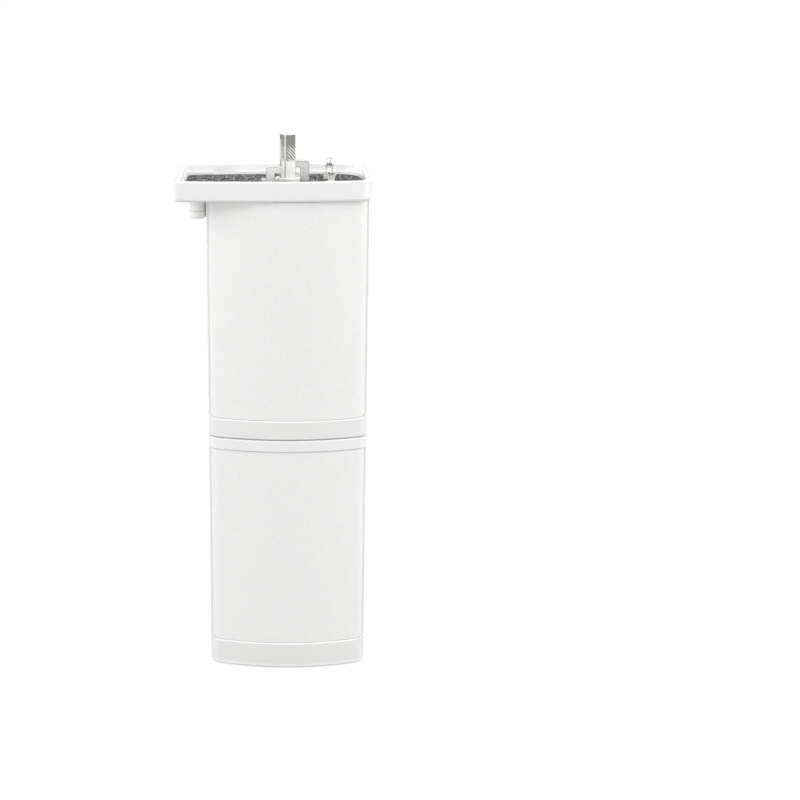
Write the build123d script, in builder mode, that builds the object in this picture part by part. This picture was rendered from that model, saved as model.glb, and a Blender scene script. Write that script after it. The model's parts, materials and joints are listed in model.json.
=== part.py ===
from build123d import *
import os
from math import acos, cos, pi, radians, sin, sqrt, tan

os.makedirs("parts", exist_ok=True)

# A curtain-rail drive motor with its power pack, standing on its base. Millimetres, +Z up.
# The origin lies on the output shaft's axis, in the plane of the base; -Y is the front.

# Section of the long body: both faces crowned, the sides flat, the corners round
body_width = 64.0
front_reach = 27.3
rear_reach = 27.3
front_radius = 87.0
rear_radius = 250.0
corner_radius = 5.0
wall = 2.4

# Heights of the body's main planes
pack_top = 99.3
seam_gap = 0.5
head_base = 195.6
head_height = 8.0
base_round = 1.6
edge_break = 0.35
lid_round = 0.6

# Inlaid face panels
panel_sink = 0.45
panel_thickness = 0.8
panel_gap = 0.12
panel_bevel = 0.45
panel_edge_back = 2.0
base_band = 11.4
collar_band = 4.7
motor_band = 7.7

# Head: a tray that overhangs the body on the left
head_proud = 0.7
head_left = 44.1
head_front_fall = 1.0
head_front_radius = 110.0
head_left_corner = 1.8
head_right_corner = 5.6
head_foot_round = 1.2
rim_wall = 2.2
rim_round = 0.6
recess_depth = 4.4
gasket_thickness = 1.0
gasket_margin = 0.25
gasket_hole_gap = 0.4
ledge_drop = 3.4
ledge_width = 1.0
ledge_corner = 8.0
ledge_front = 14.0
ledge_slope = 1.4
ledge_left_end = -30.5
ledge_right_start = -21.5
side_ledge_width = 1.0
side_ledge_drop = 2.6
lug_length = 3.2
lug_depth = 4.0
lug_height = 2.0
lug_round = 0.3

# Output shaft, its bush and the white collar round it
shaft_side = 5.0
shaft_round = 0.5
shaft_turn = 26.0
shaft_rise = 15.3
shaft_chamfer = 0.4
journal_radius = 4.0
journal_length = 12.2
spigot_side = 6.0
running_gap = 0.05
bush_wall = 2.0
collar_wall = 0.8
collar_flange_radius = 5.0
collar_flange = 0.8
collar_stand = 2.3
collar_shaft_gap = 0.2

# Catch plate with two hooks, point-symmetric about the shaft
plate_thickness = 1.2
hook_offset_x = 6.9
hook_offset_y = 9.0
hook_post_width = 3.5
hook_depth = 4.6
hook_reach = 2.6
hook_arm = 2.4
hook_rise = 3.3
hook_foot_length = 7.0
front_foot_shift = 1.9
rear_foot_shift = 0.2
front_foot_rise = 2.9
rear_foot_rise = 1.8
hook_round = 0.9
slot_gap = 0.25

# Locating pins
pin_offset_x = 17.0
pin_offset_y = 13.0
pin_shank_radius = 1.5
pin_flange_radius = 2.45
pin_flange = 3.5
pin_foot_radius = 1.1
pin_body_radius = 1.85
pin_neck_radius = 1.3
pin_head_radius = 2.1
pin_rise = 4.2
pin_slot = 0.6
pin_slot_depth = 1.5

# Lock plunger under the overhang
plunger_y = -13.0
plunger_radius = 3.3
plunger_gap = 0.25
sleeve_bore = 2.3
sleeve_end_wall = 1.2
knob_length = 2.9
knob_gap = 0.15
knob_bevel = 0.8
plunger_pin_radius = 1.2
plunger_tip_rise = 1.4
plunger_collar_radius = 2.1
plunger_collar = 1.0
plunger_travel = 3.0
guide_thickness = 1.0
spring_wire = 0.4
spring_solid = 1.55

# Planetary gears
gear_module = 0.6
pressure_angle = 25.0
sun_teeth = 12
planet_teeth = 24
ring_teeth = 60
planet_count = 3
tooth_gap = 0.05
root_depth = 1.25
gear_float = 0.3
stage_one_width = 7.0
stage_two_width = 8.0
carrier_one_plate = 2.5
carrier_two_plate = 4.0
carrier_radius = 15.4
planet_pin_radius = 1.5

# Gearbox case
gearbox_radius = 22.5
cover_thickness = 6.0
gearbox_base_thickness = 4.0
gearbox_bolt_circle = 20.65
gearbox_bolt_radius = 1.25
gearbox_bolt_head = 2.0
gearbox_bolt_end = 1.0
motor_screw_circle = 12.5
motor_screw_length = 4.2
press_gap = 0.02
head_bolt_circle = 16.5
case_bolt_count = 4

# Motor
can_radius = 18.5
can_wall = 1.5
can_length = 47.0
can_nose = 6.0
can_nose_rise = 1.8
motor_bush_radius = 4.0
magnet_rise = 11.0
end_cap_thickness = 3.0
motor_shaft_radius = 2.0
magnet_thickness = 3.4
magnet_length = 30.0
magnet_arc = 130.0
air_gap = 0.6
core_length = 26.0
core_slots = 5
slot_mouth = 1.6
slot_radius = 3.4
slot_rim = 1.0
commutator_radius = 4.2
commutator_length = 7.0
commutator_rise = 1.5
winding_length = 3.5
winding_gap = 0.3
winding_inner = 4.4
brush_length = 4.0
brush_height = 4.0
brush_gap = 0.15
damper_width = 5.0
damper_thickness = 1.6
damper_pad = 12.0
damper_inset = 5.0
encoder_radius = 6.0
encoder_height = 3.0
encoder_gap = 1.3

# End frame, boards and screws
frame_thickness = 2.6
fit_gap = 0.1
board_thickness = 1.6
board_stand = 1.2
board_round = 2.0
boss_shift = 1.0
boss_radius = 4.0
thread_gap = 0.03
screw_radius = 1.5
screw_hole = 1.7
screw_head_radius = 2.6
screw_head = 1.6
screw_head_gap = 0.2
screw_length = 7.0
socket_share = 0.95
socket_depth = 1.0
bolt_grip = 12.0
encoder_board_width = 44.0
encoder_board_length = 34.0
post_radius = 2.0
peg_radius = 1.0
peg_inset = 3.2
peg_head = 0.5
terminal_width = 3.0
terminal_thickness = 0.5
terminal_x = 12.0
contact_count = 5
contact_pitch = 3.0
contact_radius = 0.6
contact_gap = 0.05
contact_block_width = 5.0
contact_block_length = 17.0
contact_depth = 8.0
contact_flange = 1.0
contact_floor = 0.5
socket_grip = 4.0
seal_inset = 0.6
seal_width = 2.0

# Power pack
cell_radius = 9.1
cell_length = 65.0
cell_pitch = 18.7
cell_centre_x = -5.0
holder_stand = 6.0
holder_plate = 2.7
holder_lip = 3.0
holder_gap = 0.15
holder_left = 24.3
holder_right = 22.7
holder_half_depth = 19.4
leg_radius = 2.0
leg_inset = 2.6
leg_y = 12.0
strip_thickness = 0.3
strip_width = 8.0
board_x = 16.0
board_width = 34.0
board_drop = 5.7
board_groove = 1.0
board_gap = 0.1
module_width = 16.0
module_length = 24.0
module_thickness = 2.6
module_rise = 34.0
capacitor_radius = 4.0
capacitor_length = 9.0
capacitor_rise = 14.0
capacitor_y = 8.5
chip_size = 7.0
chip_thickness = 1.2
chip_rise = 26.0
lid_thickness = 2.6
lid_skirt = 4.0
lid_skirt_wall = 1.2

# Base plate with its well, button, lamp and port
base_thickness = 3.0
well_depth = 1.0
well_width = 40.0
well_length = 13.0
well_inset = 14.3
button_radius = 3.0
button_gap = 0.1
button_flange = 1.0
button_travel = 0.8
button_x = -12.0
lens_radius = 1.5
lens_x = 12.0
port_width = 9.2
port_height = 3.6
port_wall = 0.4
port_depth = 5.4
port_tongue_width = 6.4
port_tongue_thickness = 0.7
port_tongue_length = 4.0
switch_size = 5.0
lamp_size = 2.0
lamp_height = 0.8
lens_flange = 0.8
lens_gap = 0.3
charge_board_width = 35.0
stand_radius = 1.5
stand_x = 15.7
stand_y = 5.0

# Values that follow from the sizes above
half_width = body_width / 2
plunger_x = -half_width - plunger_gap - plunger_radius
well_y = rear_reach - well_inset
front_centre = front_radius - front_reach
rear_centre = rear_reach - rear_radius
corner_x = half_width - corner_radius
front_corner_y = front_centre - sqrt((front_radius - corner_radius) ** 2 - corner_x**2)
rear_corner_y = rear_centre + sqrt((rear_radius - corner_radius) ** 2 - corner_x**2)
motor_base = pack_top + seam_gap
rim_top = head_base + head_height
gasket_top = rim_top - recess_depth
recess_floor = gasket_top - gasket_thickness
head_front = front_reach + head_proud
head_rear = rear_reach + head_proud
head_right = half_width + head_proud
pocket_depth = panel_sink + panel_thickness
panel_edge_y = front_corner_y - panel_edge_back
rear_panel_edge_y = rear_corner_y + panel_edge_back
cover_top = head_base - plate_thickness
ring_top = cover_top - cover_thickness
sun_radius = gear_module * sun_teeth / 2
planet_radius = gear_module * planet_teeth / 2
ring_radius = gear_module * ring_teeth / 2
planet_circle = sun_radius + planet_radius
carrier_two_top = ring_top - 2 * gear_float
carrier_two_base = carrier_two_top - carrier_two_plate
stage_two_base = carrier_two_base - gear_float - stage_two_width
carrier_one_top = stage_two_base - gear_float
carrier_one_base = carrier_one_top - carrier_one_plate
stage_one_base = carrier_one_base - gear_float - stage_one_width
ring_base = stage_one_base - 2 * gear_float
gearbox_base = ring_base - gearbox_base_thickness
can_base = gearbox_base - can_length
end_cap_base = can_base - end_cap_thickness
frame_top = motor_base + frame_thickness
board_base = frame_top + board_stand
board_top = board_base + board_thickness
journal_top = carrier_two_top + journal_length
shaft_top = rim_top + shaft_rise
hook_top = rim_top + hook_rise
guide_base = recess_floor - guide_thickness
plunger_collar_top = guide_base - knob_gap
spring_top = plunger_collar_top - plunger_collar
spring_seat = spring_top - plunger_travel - spring_solid
sleeve_base = spring_seat - sleeve_end_wall
collar_band_base = pack_top - collar_band
lid_base = pack_top - lid_thickness
holder_base = base_thickness + holder_stand
cell_floor = holder_base + holder_plate + strip_thickness
cell_top = cell_floor + cell_length
holder_top = cell_top + strip_thickness + holder_plate
main_board_base = cell_floor - strip_thickness - board_groove
main_board_top = pack_top - contact_depth - contact_floor - board_drop
charge_board_base = well_depth + port_depth
bush_radius = journal_radius + running_gap + bush_wall
collar_radius = journal_radius + running_gap + collar_wall
thread_radius = screw_radius + thread_gap
screw_seat = recess_floor - screw_head - screw_head_gap
boss_x = corner_x - boss_shift
front_window_round = half_width - corner_x * front_radius / (front_radius - corner_radius)
rear_window_round = half_width - corner_x * rear_radius / (rear_radius - corner_radius)
boss_places = [
    (side * boss_x, y)
    for side in (-1, 1)
    for y in (front_corner_y + boss_shift, rear_corner_y - boss_shift)
]
cell_places = [
    (cell_centre_x + i * cell_pitch / 2, j * cell_pitch / 2)
    for i in (-1, 1)
    for j in (-1, 1)
]
planet_angles = [i * 360 / planet_count for i in range(planet_count)]


def body_section(level, inset=0.0):
    """The body's cross-section at a height, drawn in by an inset."""
    front_side = front_centre - sqrt(front_radius**2 - half_width**2)
    rear_side = rear_centre + sqrt(rear_radius**2 - half_width**2)
    with BuildSketch(Plane.XY.offset(level)) as section:
        with BuildLine():
            ThreePointArc((-half_width, front_side), (0, -front_reach), (half_width, front_side))
            Line((half_width, front_side), (half_width, rear_side))
            ThreePointArc((half_width, rear_side), (0, rear_reach), (-half_width, rear_side))
            Line((-half_width, rear_side), (-half_width, front_side))
        make_face()
        fillet(section.vertices(), corner_radius)
        if inset > 0:
            offset(amount=-inset, mode=Mode.REPLACE)
    return section.sketch


def head_outline(level, inset=0.0, right_round=None):
    """The head's outline: like the body on the right, long and square on the left."""
    right = head_right - inset
    left = head_left - inset
    front = head_front - inset
    rear = head_rear - inset
    front_bend = head_front_radius - inset
    rear_bend = rear_radius - inset
    right_front = -front + front_bend - sqrt(front_bend**2 - right**2)
    right_rear = rear - rear_bend + sqrt(rear_bend**2 - right**2)
    left_rear = rear - rear_bend + sqrt(rear_bend**2 - left**2)
    with BuildSketch(Plane.XY.offset(level)) as outline:
        with BuildLine():
            RadiusArc((0, -front), (right, right_front), -front_bend)
            Line((right, right_front), (right, right_rear))
            ThreePointArc((right, right_rear), (0, rear), (-left, left_rear))
            Line((-left, left_rear), (-left, head_front_fall - front))
            TangentArc((0, -front), (-left, head_front_fall - front), tangent=(-1, 0))
        make_face()
        corners = outline.vertices().sort_by(Axis.X)
        fillet(corners[-2:], right_round or head_right_corner - inset)
        corners = outline.vertices().sort_by(Axis.X)
        fillet(corners[:2], max(head_left_corner - inset, 1.0))
    return outline.sketch


def window(face_y, base, top, side, gap=0.0):
    """A prism through one face of the body, round at its lower corners, for a panel and its seat."""
    half = half_width - gap
    foot = base + gap
    depth = abs(face_y) + side
    bend = front_window_round if face_y < 0 else rear_window_round
    with BuildPart(mode=Mode.PRIVATE) as prism:
        with BuildSketch(Plane.XZ.offset(-face_y)) as face:
            with BuildLine():
                Line((-half, top), (-half, foot + bend))
                RadiusArc((-half, foot + bend), (-half + bend, foot), -bend)
                Line((-half + bend, foot), (half - bend, foot))
                RadiusArc((half - bend, foot), (half, foot + bend), -bend)
                Line((half, foot + bend), (half, top))
                Line((half, top), (-half, top))
            make_face()
        extrude(amount=depth if face_y < 0 else -depth)
    return prism.part


def panel_pocket(face_y, base, top, reach):
    """What is cut out of the body's wall to seat a face panel."""
    with BuildPart() as pocket:
        add(window(face_y, base, top, reach))
        extrude(body_section(base - 1, pocket_depth), amount=top - base + 2, mode=Mode.SUBTRACT)
    return pocket.part


def window_rim(housing, base):
    """Edges at the foot of the pocket just cut that lie on the body's outer surface."""
    skin = body_section(0).wire()
    rim = []
    for edge in housing.edges(Select.LAST):
        middle = edge @ 0.5
        at_foot = base - fit_gap < middle.Z < base + rear_window_round
        if at_foot and skin.distance_to(Vertex(middle.X, middle.Y, 0)) < fit_gap / 10:
            rim.append(edge)
    return rim


def face_panel(face_y, base, top, reach):
    """A curved cover sheet, sunk a little below the body's surface."""
    outward = -panel_gap if face_y < 0 else panel_gap
    with BuildPart() as sheet:
        add(window(face_y + outward, base, top - panel_gap, reach, panel_gap))
        extrude(body_section(base - 1, panel_sink), amount=top - base + 2, mode=Mode.INTERSECT)
        extrude(body_section(base - 1, pocket_depth), amount=top - base + 2, mode=Mode.SUBTRACT)
    return sheet.part


def gear_outline(teeth, first_tooth, tip, gap, root=None):
    """Corner points of a gear with involute flanks, one tooth centred on the angle first_tooth."""
    pitch = gear_module * teeth / 2
    base = pitch * cos(radians(pressure_angle))
    half_at_pitch = (pi * gear_module / 2 - gap) / (2 * pitch)

    def spread(radius):
        tilt = acos(min(1.0, base / radius))
        return tan(tilt) - tilt

    start = base if root is None else max(base, root)
    flank = [(r, half_at_pitch + spread(pitch) - spread(r)) for r in (start, pitch, tip)]
    if root is not None and root < base:
        flank.insert(0, (root, flank[0][1]))
    points = []
    for tooth in range(teeth):
        centre = radians(first_tooth) + tooth * 2 * pi / teeth
        rising = [(r, centre - half) for r, half in flank]
        falling = [(r, centre + half) for r, half in reversed(flank)]
        points += [(r * cos(angle), r * sin(angle)) for r, angle in rising + falling]
    return points


def gear_face(level, points):
    """A gear's flat face at a height."""
    with BuildSketch(Plane.XY.offset(level)) as face:
        with BuildLine():
            Polyline(points, close=True)
        make_face()
    return face.sketch


def round_post(radius, base, top, places, mode=Mode.ADD):
    """Upright cylinders between two heights, one at each place."""
    with Locations([(x, y, base) for x, y in places]):
        Cylinder(radius, top - base, align=STANDING, mode=mode)


def add_screws(places, seat, length, radius, head_radius, points_up=False):
    """Socket-head screws at several places, each with its head on a seat."""
    side = -1 if points_up else 1
    head_low, head_high = sorted((seat, seat + side * screw_head))
    shank_low, shank_high = sorted((seat, seat - side * length))
    socket_face = seat + side * screw_head
    round_post(head_radius, head_low, head_high, places)
    round_post(radius, shank_low, shank_high, places)
    with BuildSketch(Plane.XY.offset(socket_face)) as sockets:
        with Locations(places):
            RegularPolygon(socket_share * radius, 6)
    extrude(sockets.sketch, amount=-side * socket_depth, mode=Mode.SUBTRACT)


def rounded_plate(level, thickness, size_x, size_y, round_radius, centre=(0, 0)):
    """A flat plate with round corners."""
    with BuildSketch(Plane.XY.offset(level)) as plate:
        with Locations(centre):
            RectangleRounded(size_x, size_y, round_radius)
    return extrude(plate.sketch, amount=thickness, mode=Mode.PRIVATE)


STANDING = (Align.CENTER, Align.CENTER, Align.MIN)
case_angles = [i * 360 / case_bolt_count for i in range(case_bolt_count)]
head_bolt_places = [
    (head_bolt_circle * cos(radians(a)), head_bolt_circle * sin(radians(a))) for a in case_angles
]
case_turn = 180 / case_bolt_count
gearbox_bolt_places = [
    (gearbox_bolt_circle * cos(radians(a + case_turn)), gearbox_bolt_circle * sin(radians(a + case_turn)))
    for a in case_angles
]
planet_places = [
    (planet_circle * cos(radians(a)), planet_circle * sin(radians(a))) for a in planet_angles
]
lug_rear_fall = rear_radius - sqrt(rear_radius**2 - head_left**2)
both_sides = (-1, 1)
hook_outer = hook_offset_x + hook_post_width / 2
foot_places = [
    (hook_outer + rear_foot_shift - hook_foot_length / 2, hook_offset_y),
    (hook_foot_length / 2 - hook_outer - front_foot_shift, -hook_offset_y),
]
foot_tops = [gasket_top + rear_foot_rise, gasket_top + front_foot_rise]
pin_places = [(pin_offset_x, s * pin_offset_y) for s in both_sides]
plunger_place = [(plunger_x, plunger_y)]
knob_top = sleeve_base - knob_gap
knob_base = knob_top - knob_length
plunger_tip = gasket_top + plunger_tip_rise
ledge_top = rim_top - ledge_drop
side_ledge_edge = head_left - rim_wall - side_ledge_width
motor_screw_places = [(0, side * motor_screw_circle) for side in (-1, 1)]
motor_screw_seat = ring_base - screw_head - screw_head_gap
magnet_base = can_base + magnet_rise
core_base = magnet_base + (magnet_length - core_length) / 2
core_radius = can_radius - can_wall - magnet_thickness - air_gap
slot_circle = core_radius - slot_rim - slot_radius
winding_base = core_base - winding_length
commutator_base = can_base + commutator_rise
damper_bases = (can_base + damper_inset, gearbox_base - damper_inset - damper_width)
encoder_base = board_top + encoder_gap
encoder_peg_places = [
    (i * (encoder_board_width / 2 - peg_inset), j * (encoder_board_length / 2 - peg_inset))
    for i in (-1, 1)
    for j in (-1, 1)
]
contact_centre = (board_x + board_thickness / 2, 0)
cell_lines_x = [cell_centre_x + side * cell_pitch / 2 for side in (-1, 1)]
holder_centre = ((holder_right - holder_left) / 2, 0)
leg_places = [
    (x, side * leg_y)
    for x in (leg_inset - holder_left, holder_right - leg_inset)
    for side in (-1, 1)
]
pack_bolt_seat = screw_head + screw_head_gap
switch_base = base_thickness + 2 * button_gap + button_flange + button_travel
stand_places = [(i * stand_x, well_y + j * stand_y) for i in (-1, 1) for j in (-1, 1)]
contact_places = [
    (contact_centre[0], (i - (contact_count - 1) / 2) * contact_pitch)
    for i in range(contact_count)
]

# Head housing: the tray, its floor, the plunger's sleeve, the ledges and the raised corner
with BuildPart() as ledges:
    extrude(head_outline(recess_floor, rim_wall - rim_round / 2), amount=ledge_top - recess_floor)
    extrude(
        head_outline(recess_floor, rim_wall + ledge_width, ledge_corner),
        amount=ledge_top - recess_floor,
        mode=Mode.SUBTRACT,
    )
    with BuildSketch(Plane.XZ.offset(-ledge_front)) as ledge_faces:
        with BuildLine():
            Polyline(
                (-head_left, recess_floor),
                (ledge_left_end + ledge_slope, recess_floor),
                (ledge_left_end, ledge_top),
                (-head_left, ledge_top),
                close=True,
            )
        make_face()
        with BuildLine():
            Polyline(
                (ledge_right_start - ledge_slope, recess_floor),
                (head_right, recess_floor),
                (head_right, ledge_top),
                (ledge_right_start, ledge_top),
                close=True,
            )
        make_face()
    extrude(ledge_faces.sketch, amount=-head_rear, mode=Mode.INTERSECT)

with BuildPart() as side_ledge:
    extrude(head_outline(recess_floor, rim_wall / 2), amount=rim_top - side_ledge_drop - recess_floor)
    with Locations((-head_left, 0, recess_floor)):
        Box(
            2 * (head_left - side_ledge_edge),
            4 * head_rear,
            2 * recess_depth,
            align=STANDING,
            mode=Mode.INTERSECT,
        )

with BuildPart() as lug:
    extrude(head_outline(recess_floor, rim_round / 2), amount=rim_top + lug_height - recess_floor)
    with Locations((-head_left, head_rear, recess_floor)):
        Box(
            2 * lug_length,
            2 * (lug_depth + lug_rear_fall),
            2 * recess_depth + lug_height,
            align=STANDING,
            mode=Mode.INTERSECT,
        )
    fillet(lug.edges().group_by(Axis.Z)[-1], lug_round)

with BuildPart() as head_housing:
    extrude(head_outline(head_base), amount=head_height)
    fillet(head_housing.edges().group_by(Axis.Z)[0], head_foot_round)
    extrude(head_outline(recess_floor, rim_wall), amount=rim_top - recess_floor, mode=Mode.SUBTRACT)
    fillet(head_housing.edges().group_by(Axis.Z)[-1], rim_round)
    add(ledges.part)
    add(side_ledge.part)
    add(lug.part)
    round_post(plunger_radius, sleeve_base, head_base + 1, plunger_place)
    round_post(sleeve_bore, spring_seat, rim_top, plunger_place, Mode.SUBTRACT)
    round_post(plunger_pin_radius + gasket_margin / 2, sleeve_base, rim_top, plunger_place, Mode.SUBTRACT)
    round_post(collar_radius + fit_gap, head_base, rim_top, [(0, 0)], Mode.SUBTRACT)
    round_post(pin_shank_radius + press_gap, head_base, rim_top, pin_places, Mode.SUBTRACT)
    round_post(screw_hole, head_base, rim_top, boss_places + head_bolt_places, Mode.SUBTRACT)
    round_post(
        screw_head_radius + screw_head_gap,
        screw_seat,
        recess_floor,
        boss_places + head_bolt_places,
        Mode.SUBTRACT,
    )
    with Locations([(x, y, head_base) for x, y in foot_places]):
        Box(
            hook_foot_length + 2 * slot_gap,
            hook_depth + 2 * slot_gap,
            head_height,
            align=STANDING,
            mode=Mode.SUBTRACT,
        )

# Foam gasket on the tray's floor
with BuildPart() as gasket_front:
    extrude(head_outline(recess_floor, rim_wall + gasket_margin), amount=gasket_thickness)
    with Locations((0, -head_rear, recess_floor)):
        Box(
            4 * head_left,
            2 * (head_rear + ledge_front - gasket_margin),
            gasket_thickness,
            align=STANDING,
            mode=Mode.INTERSECT,
        )

with BuildPart() as head_gasket:
    extrude(
        head_outline(recess_floor, rim_wall + ledge_width + gasket_margin, ledge_corner - gasket_margin),
        amount=gasket_thickness,
    )
    add(gasket_front.part)
    with Locations((gasket_margin - side_ledge_edge + 2 * head_left, 0, recess_floor)):
        Box(4 * head_left, 4 * head_rear, gasket_thickness, align=STANDING, mode=Mode.INTERSECT)
    round_post(collar_radius + gasket_hole_gap, recess_floor, gasket_top, [(0, 0)], Mode.SUBTRACT)
    round_post(
        pin_flange_radius + gasket_hole_gap,
        recess_floor,
        gasket_top,
        pin_places,
        Mode.SUBTRACT,
    )
    round_post(plunger_pin_radius + gasket_hole_gap, recess_floor, gasket_top, plunger_place, Mode.SUBTRACT)
    with Locations([(x, y, recess_floor) for x, y in foot_places]):
        Box(
            hook_foot_length + 2 * gasket_hole_gap,
            hook_depth + 2 * gasket_hole_gap,
            gasket_thickness,
            align=STANDING,
            mode=Mode.SUBTRACT,
        )

# Catch plate: a die-cast disc under the tray, whose two hooks stand up through the floor
with BuildPart() as right_hook:
    with BuildSketch(Plane.XZ.offset(-hook_offset_y)) as hook_side:
        with BuildLine():
            post_inner = hook_outer - hook_post_width
            Polyline(
                (hook_outer, head_base),
                (hook_outer, hook_top),
                (post_inner - hook_reach, hook_top),
                (post_inner - hook_reach, hook_top - hook_arm),
                (post_inner, hook_top - hook_arm),
                (post_inner, head_base),
                close=True,
            )
        make_face()
        fillet(hook_side.vertices().group_by(Axis.Y)[-1], hook_round)
    extrude(amount=hook_depth / 2, both=True)

with BuildPart() as catch_plate:
    round_post(gearbox_radius, cover_top, head_base, [(0, 0)])
    round_post(collar_radius + fit_gap, cover_top, head_base, [(0, 0)], Mode.SUBTRACT)
    round_post(screw_hole, cover_top, head_base, head_bolt_places, Mode.SUBTRACT)
    add(right_hook.part)
    add(right_hook.part.rotate(Axis.Z, 180))
    for (x, y), foot_top in zip(foot_places, foot_tops):
        with Locations((x, y, head_base)):
            Box(hook_foot_length, hook_depth, foot_top - head_base, align=STANDING)

# Locating pins: turned, with a slotted mushroom head
with BuildPart() as one_pin:
    with BuildSketch(Plane.XZ):
        with BuildLine():
            flange_top = recess_floor + pin_flange
            head_under = rim_top + pin_rise - pin_head_radius
            pin_top = rim_top + pin_rise
            Polyline(
                (0, head_base),
                (pin_shank_radius, head_base),
                (pin_shank_radius, recess_floor),
                (pin_flange_radius, recess_floor),
                (pin_flange_radius, flange_top),
                (pin_foot_radius, flange_top),
                (pin_body_radius, head_under - 2 * pin_slot),
                (pin_neck_radius, head_under - pin_slot),
                (pin_neck_radius, head_under),
                (pin_head_radius, head_under),
            )
            RadiusArc((pin_head_radius, head_under), (0, pin_top), -pin_head_radius)
            Line((0, pin_top), (0, head_base))
        make_face()
    revolve(axis=Axis.Z)
    with Locations((0, 0, pin_top)):
        Box(pin_slot, 3 * pin_head_radius, 2 * pin_slot_depth, mode=Mode.SUBTRACT)

with BuildPart() as locating_pins:
    with Locations([(x, y, 0) for x, y in pin_places]):
        add(one_pin.part)

# Lock plunger: a sprung pin with a pull knob, and the ring that guides it
with BuildPart() as plunger_knob:
    round_post(plunger_radius, knob_base, knob_top, plunger_place)
    chamfer(plunger_knob.edges().group_by(Axis.Z)[0], knob_bevel)
    round_post(plunger_pin_radius, knob_base + knob_bevel, knob_top, plunger_place, Mode.SUBTRACT)

with BuildPart() as plunger_pin:
    round_post(plunger_pin_radius, knob_base + knob_bevel, plunger_tip, plunger_place)
    chamfer(plunger_pin.edges().group_by(Axis.Z)[-1], plunger_pin_radius / 3)
    round_post(
        plunger_collar_radius,
        plunger_collar_top - plunger_collar,
        plunger_collar_top,
        plunger_place,
    )

with BuildPart() as plunger_guide:
    round_post(sleeve_bore, guide_base, recess_floor, plunger_place)
    round_post(plunger_pin_radius + running_gap, guide_base, recess_floor, plunger_place, Mode.SUBTRACT)

with BuildPart() as plunger_spring:
    coil_radius = sleeve_bore - spring_wire / 2 - fit_gap
    with Locations((plunger_x, plunger_y, spring_seat)):
        Cylinder(coil_radius + spring_wire / 2, spring_top - spring_seat, align=STANDING)
        Cylinder(coil_radius - spring_wire / 2, spring_top - spring_seat, align=STANDING, mode=Mode.SUBTRACT)

# Output shaft: a square drive above a round journal, with a square spigot below
with BuildPart() as output_shaft:
    round_post(journal_radius, carrier_two_top, journal_top, [(0, 0)])
    with BuildSketch(Plane.XY.offset(carrier_two_base)):
        Rectangle(spigot_side, spigot_side)
    extrude(amount=carrier_two_plate)
    with BuildSketch(Plane.XY.offset(journal_top)):
        RectangleRounded(shaft_side, shaft_side, shaft_round, rotation=shaft_turn)
    extrude(amount=shaft_top - journal_top)
    chamfer(output_shaft.edges().group_by(Axis.Z)[-1], shaft_chamfer)

with BuildPart() as shaft_collar:
    collar_top = gasket_top + collar_stand
    round_post(collar_radius, cover_top, collar_top - collar_flange, [(0, 0)])
    round_post(collar_flange_radius, collar_top - collar_flange, collar_top, [(0, 0)])
    round_post(journal_radius + running_gap, cover_top, collar_top - collar_flange, [(0, 0)], Mode.SUBTRACT)
    round_post(
        shaft_side / sqrt(2) + collar_shaft_gap,
        collar_top - collar_flange,
        collar_top,
        [(0, 0)],
        Mode.SUBTRACT,
    )
    fillet(shaft_collar.edges().group_by(Axis.Z)[-1].sort_by(SortBy.RADIUS)[-1], collar_flange / 3)

with BuildPart() as output_bearing:
    round_post(bush_radius, ring_top, cover_top, [(0, 0)])
    round_post(journal_radius + running_gap, ring_top, cover_top, [(0, 0)], Mode.SUBTRACT)

# Gearbox: cover with the bush's seat, ring gear and base plate, clamped by long bolts from below
with BuildPart() as gearbox_cover:
    round_post(gearbox_radius, ring_top, cover_top, [(0, 0)])
    round_post(bush_radius + press_gap, ring_top, cover_top, [(0, 0)], Mode.SUBTRACT)
    round_post(thread_radius, screw_seat - screw_length - fit_gap, cover_top, head_bolt_places, Mode.SUBTRACT)
    round_post(
        gearbox_bolt_radius + thread_gap,
        ring_top,
        cover_top - gearbox_bolt_end + fit_gap,
        gearbox_bolt_places,
        Mode.SUBTRACT,
    )

with BuildPart() as ring_gear:
    round_post(gearbox_radius, ring_base, ring_top, [(0, 0)])
    ring_hole = gear_outline(
        ring_teeth,
        180 / ring_teeth,
        ring_radius + root_depth * gear_module,
        -tooth_gap,
        ring_radius - gear_module,
    )
    extrude(gear_face(ring_base, ring_hole), amount=ring_top - ring_base, mode=Mode.SUBTRACT)
    round_post(gearbox_bolt_radius + fit_gap, ring_base, ring_top, gearbox_bolt_places, Mode.SUBTRACT)

with BuildPart() as gearbox_base_plate:
    round_post(gearbox_radius, gearbox_base, ring_base, [(0, 0)])
    round_post(can_nose + fit_gap, gearbox_base, ring_base, [(0, 0)], Mode.SUBTRACT)
    round_post(gearbox_bolt_radius + fit_gap, gearbox_base, ring_base, gearbox_bolt_places, Mode.SUBTRACT)
    round_post(gearbox_bolt_radius + fit_gap, gearbox_base, ring_base, motor_screw_places, Mode.SUBTRACT)
    round_post(gearbox_bolt_head + fit_gap, motor_screw_seat, ring_base, motor_screw_places, Mode.SUBTRACT)

with BuildPart() as gearbox_bolts:
    add_screws(
        gearbox_bolt_places,
        gearbox_base,
        cover_top - gearbox_bolt_end - gearbox_base,
        gearbox_bolt_radius,
        gearbox_bolt_head,
        points_up=True,
    )
    add_screws(
        motor_screw_places,
        motor_screw_seat,
        motor_screw_length,
        gearbox_bolt_radius,
        gearbox_bolt_head,
    )

with BuildPart() as tray_screws:
    add_screws(boss_places + head_bolt_places, screw_seat, screw_length, screw_radius, screw_head_radius)

# Planetary gears: two stages of one sun, three planets and the shared ring
sun_root = sun_radius - root_depth * gear_module
sun_outline = gear_outline(sun_teeth, 0, sun_radius + gear_module, tooth_gap, sun_root)

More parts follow.
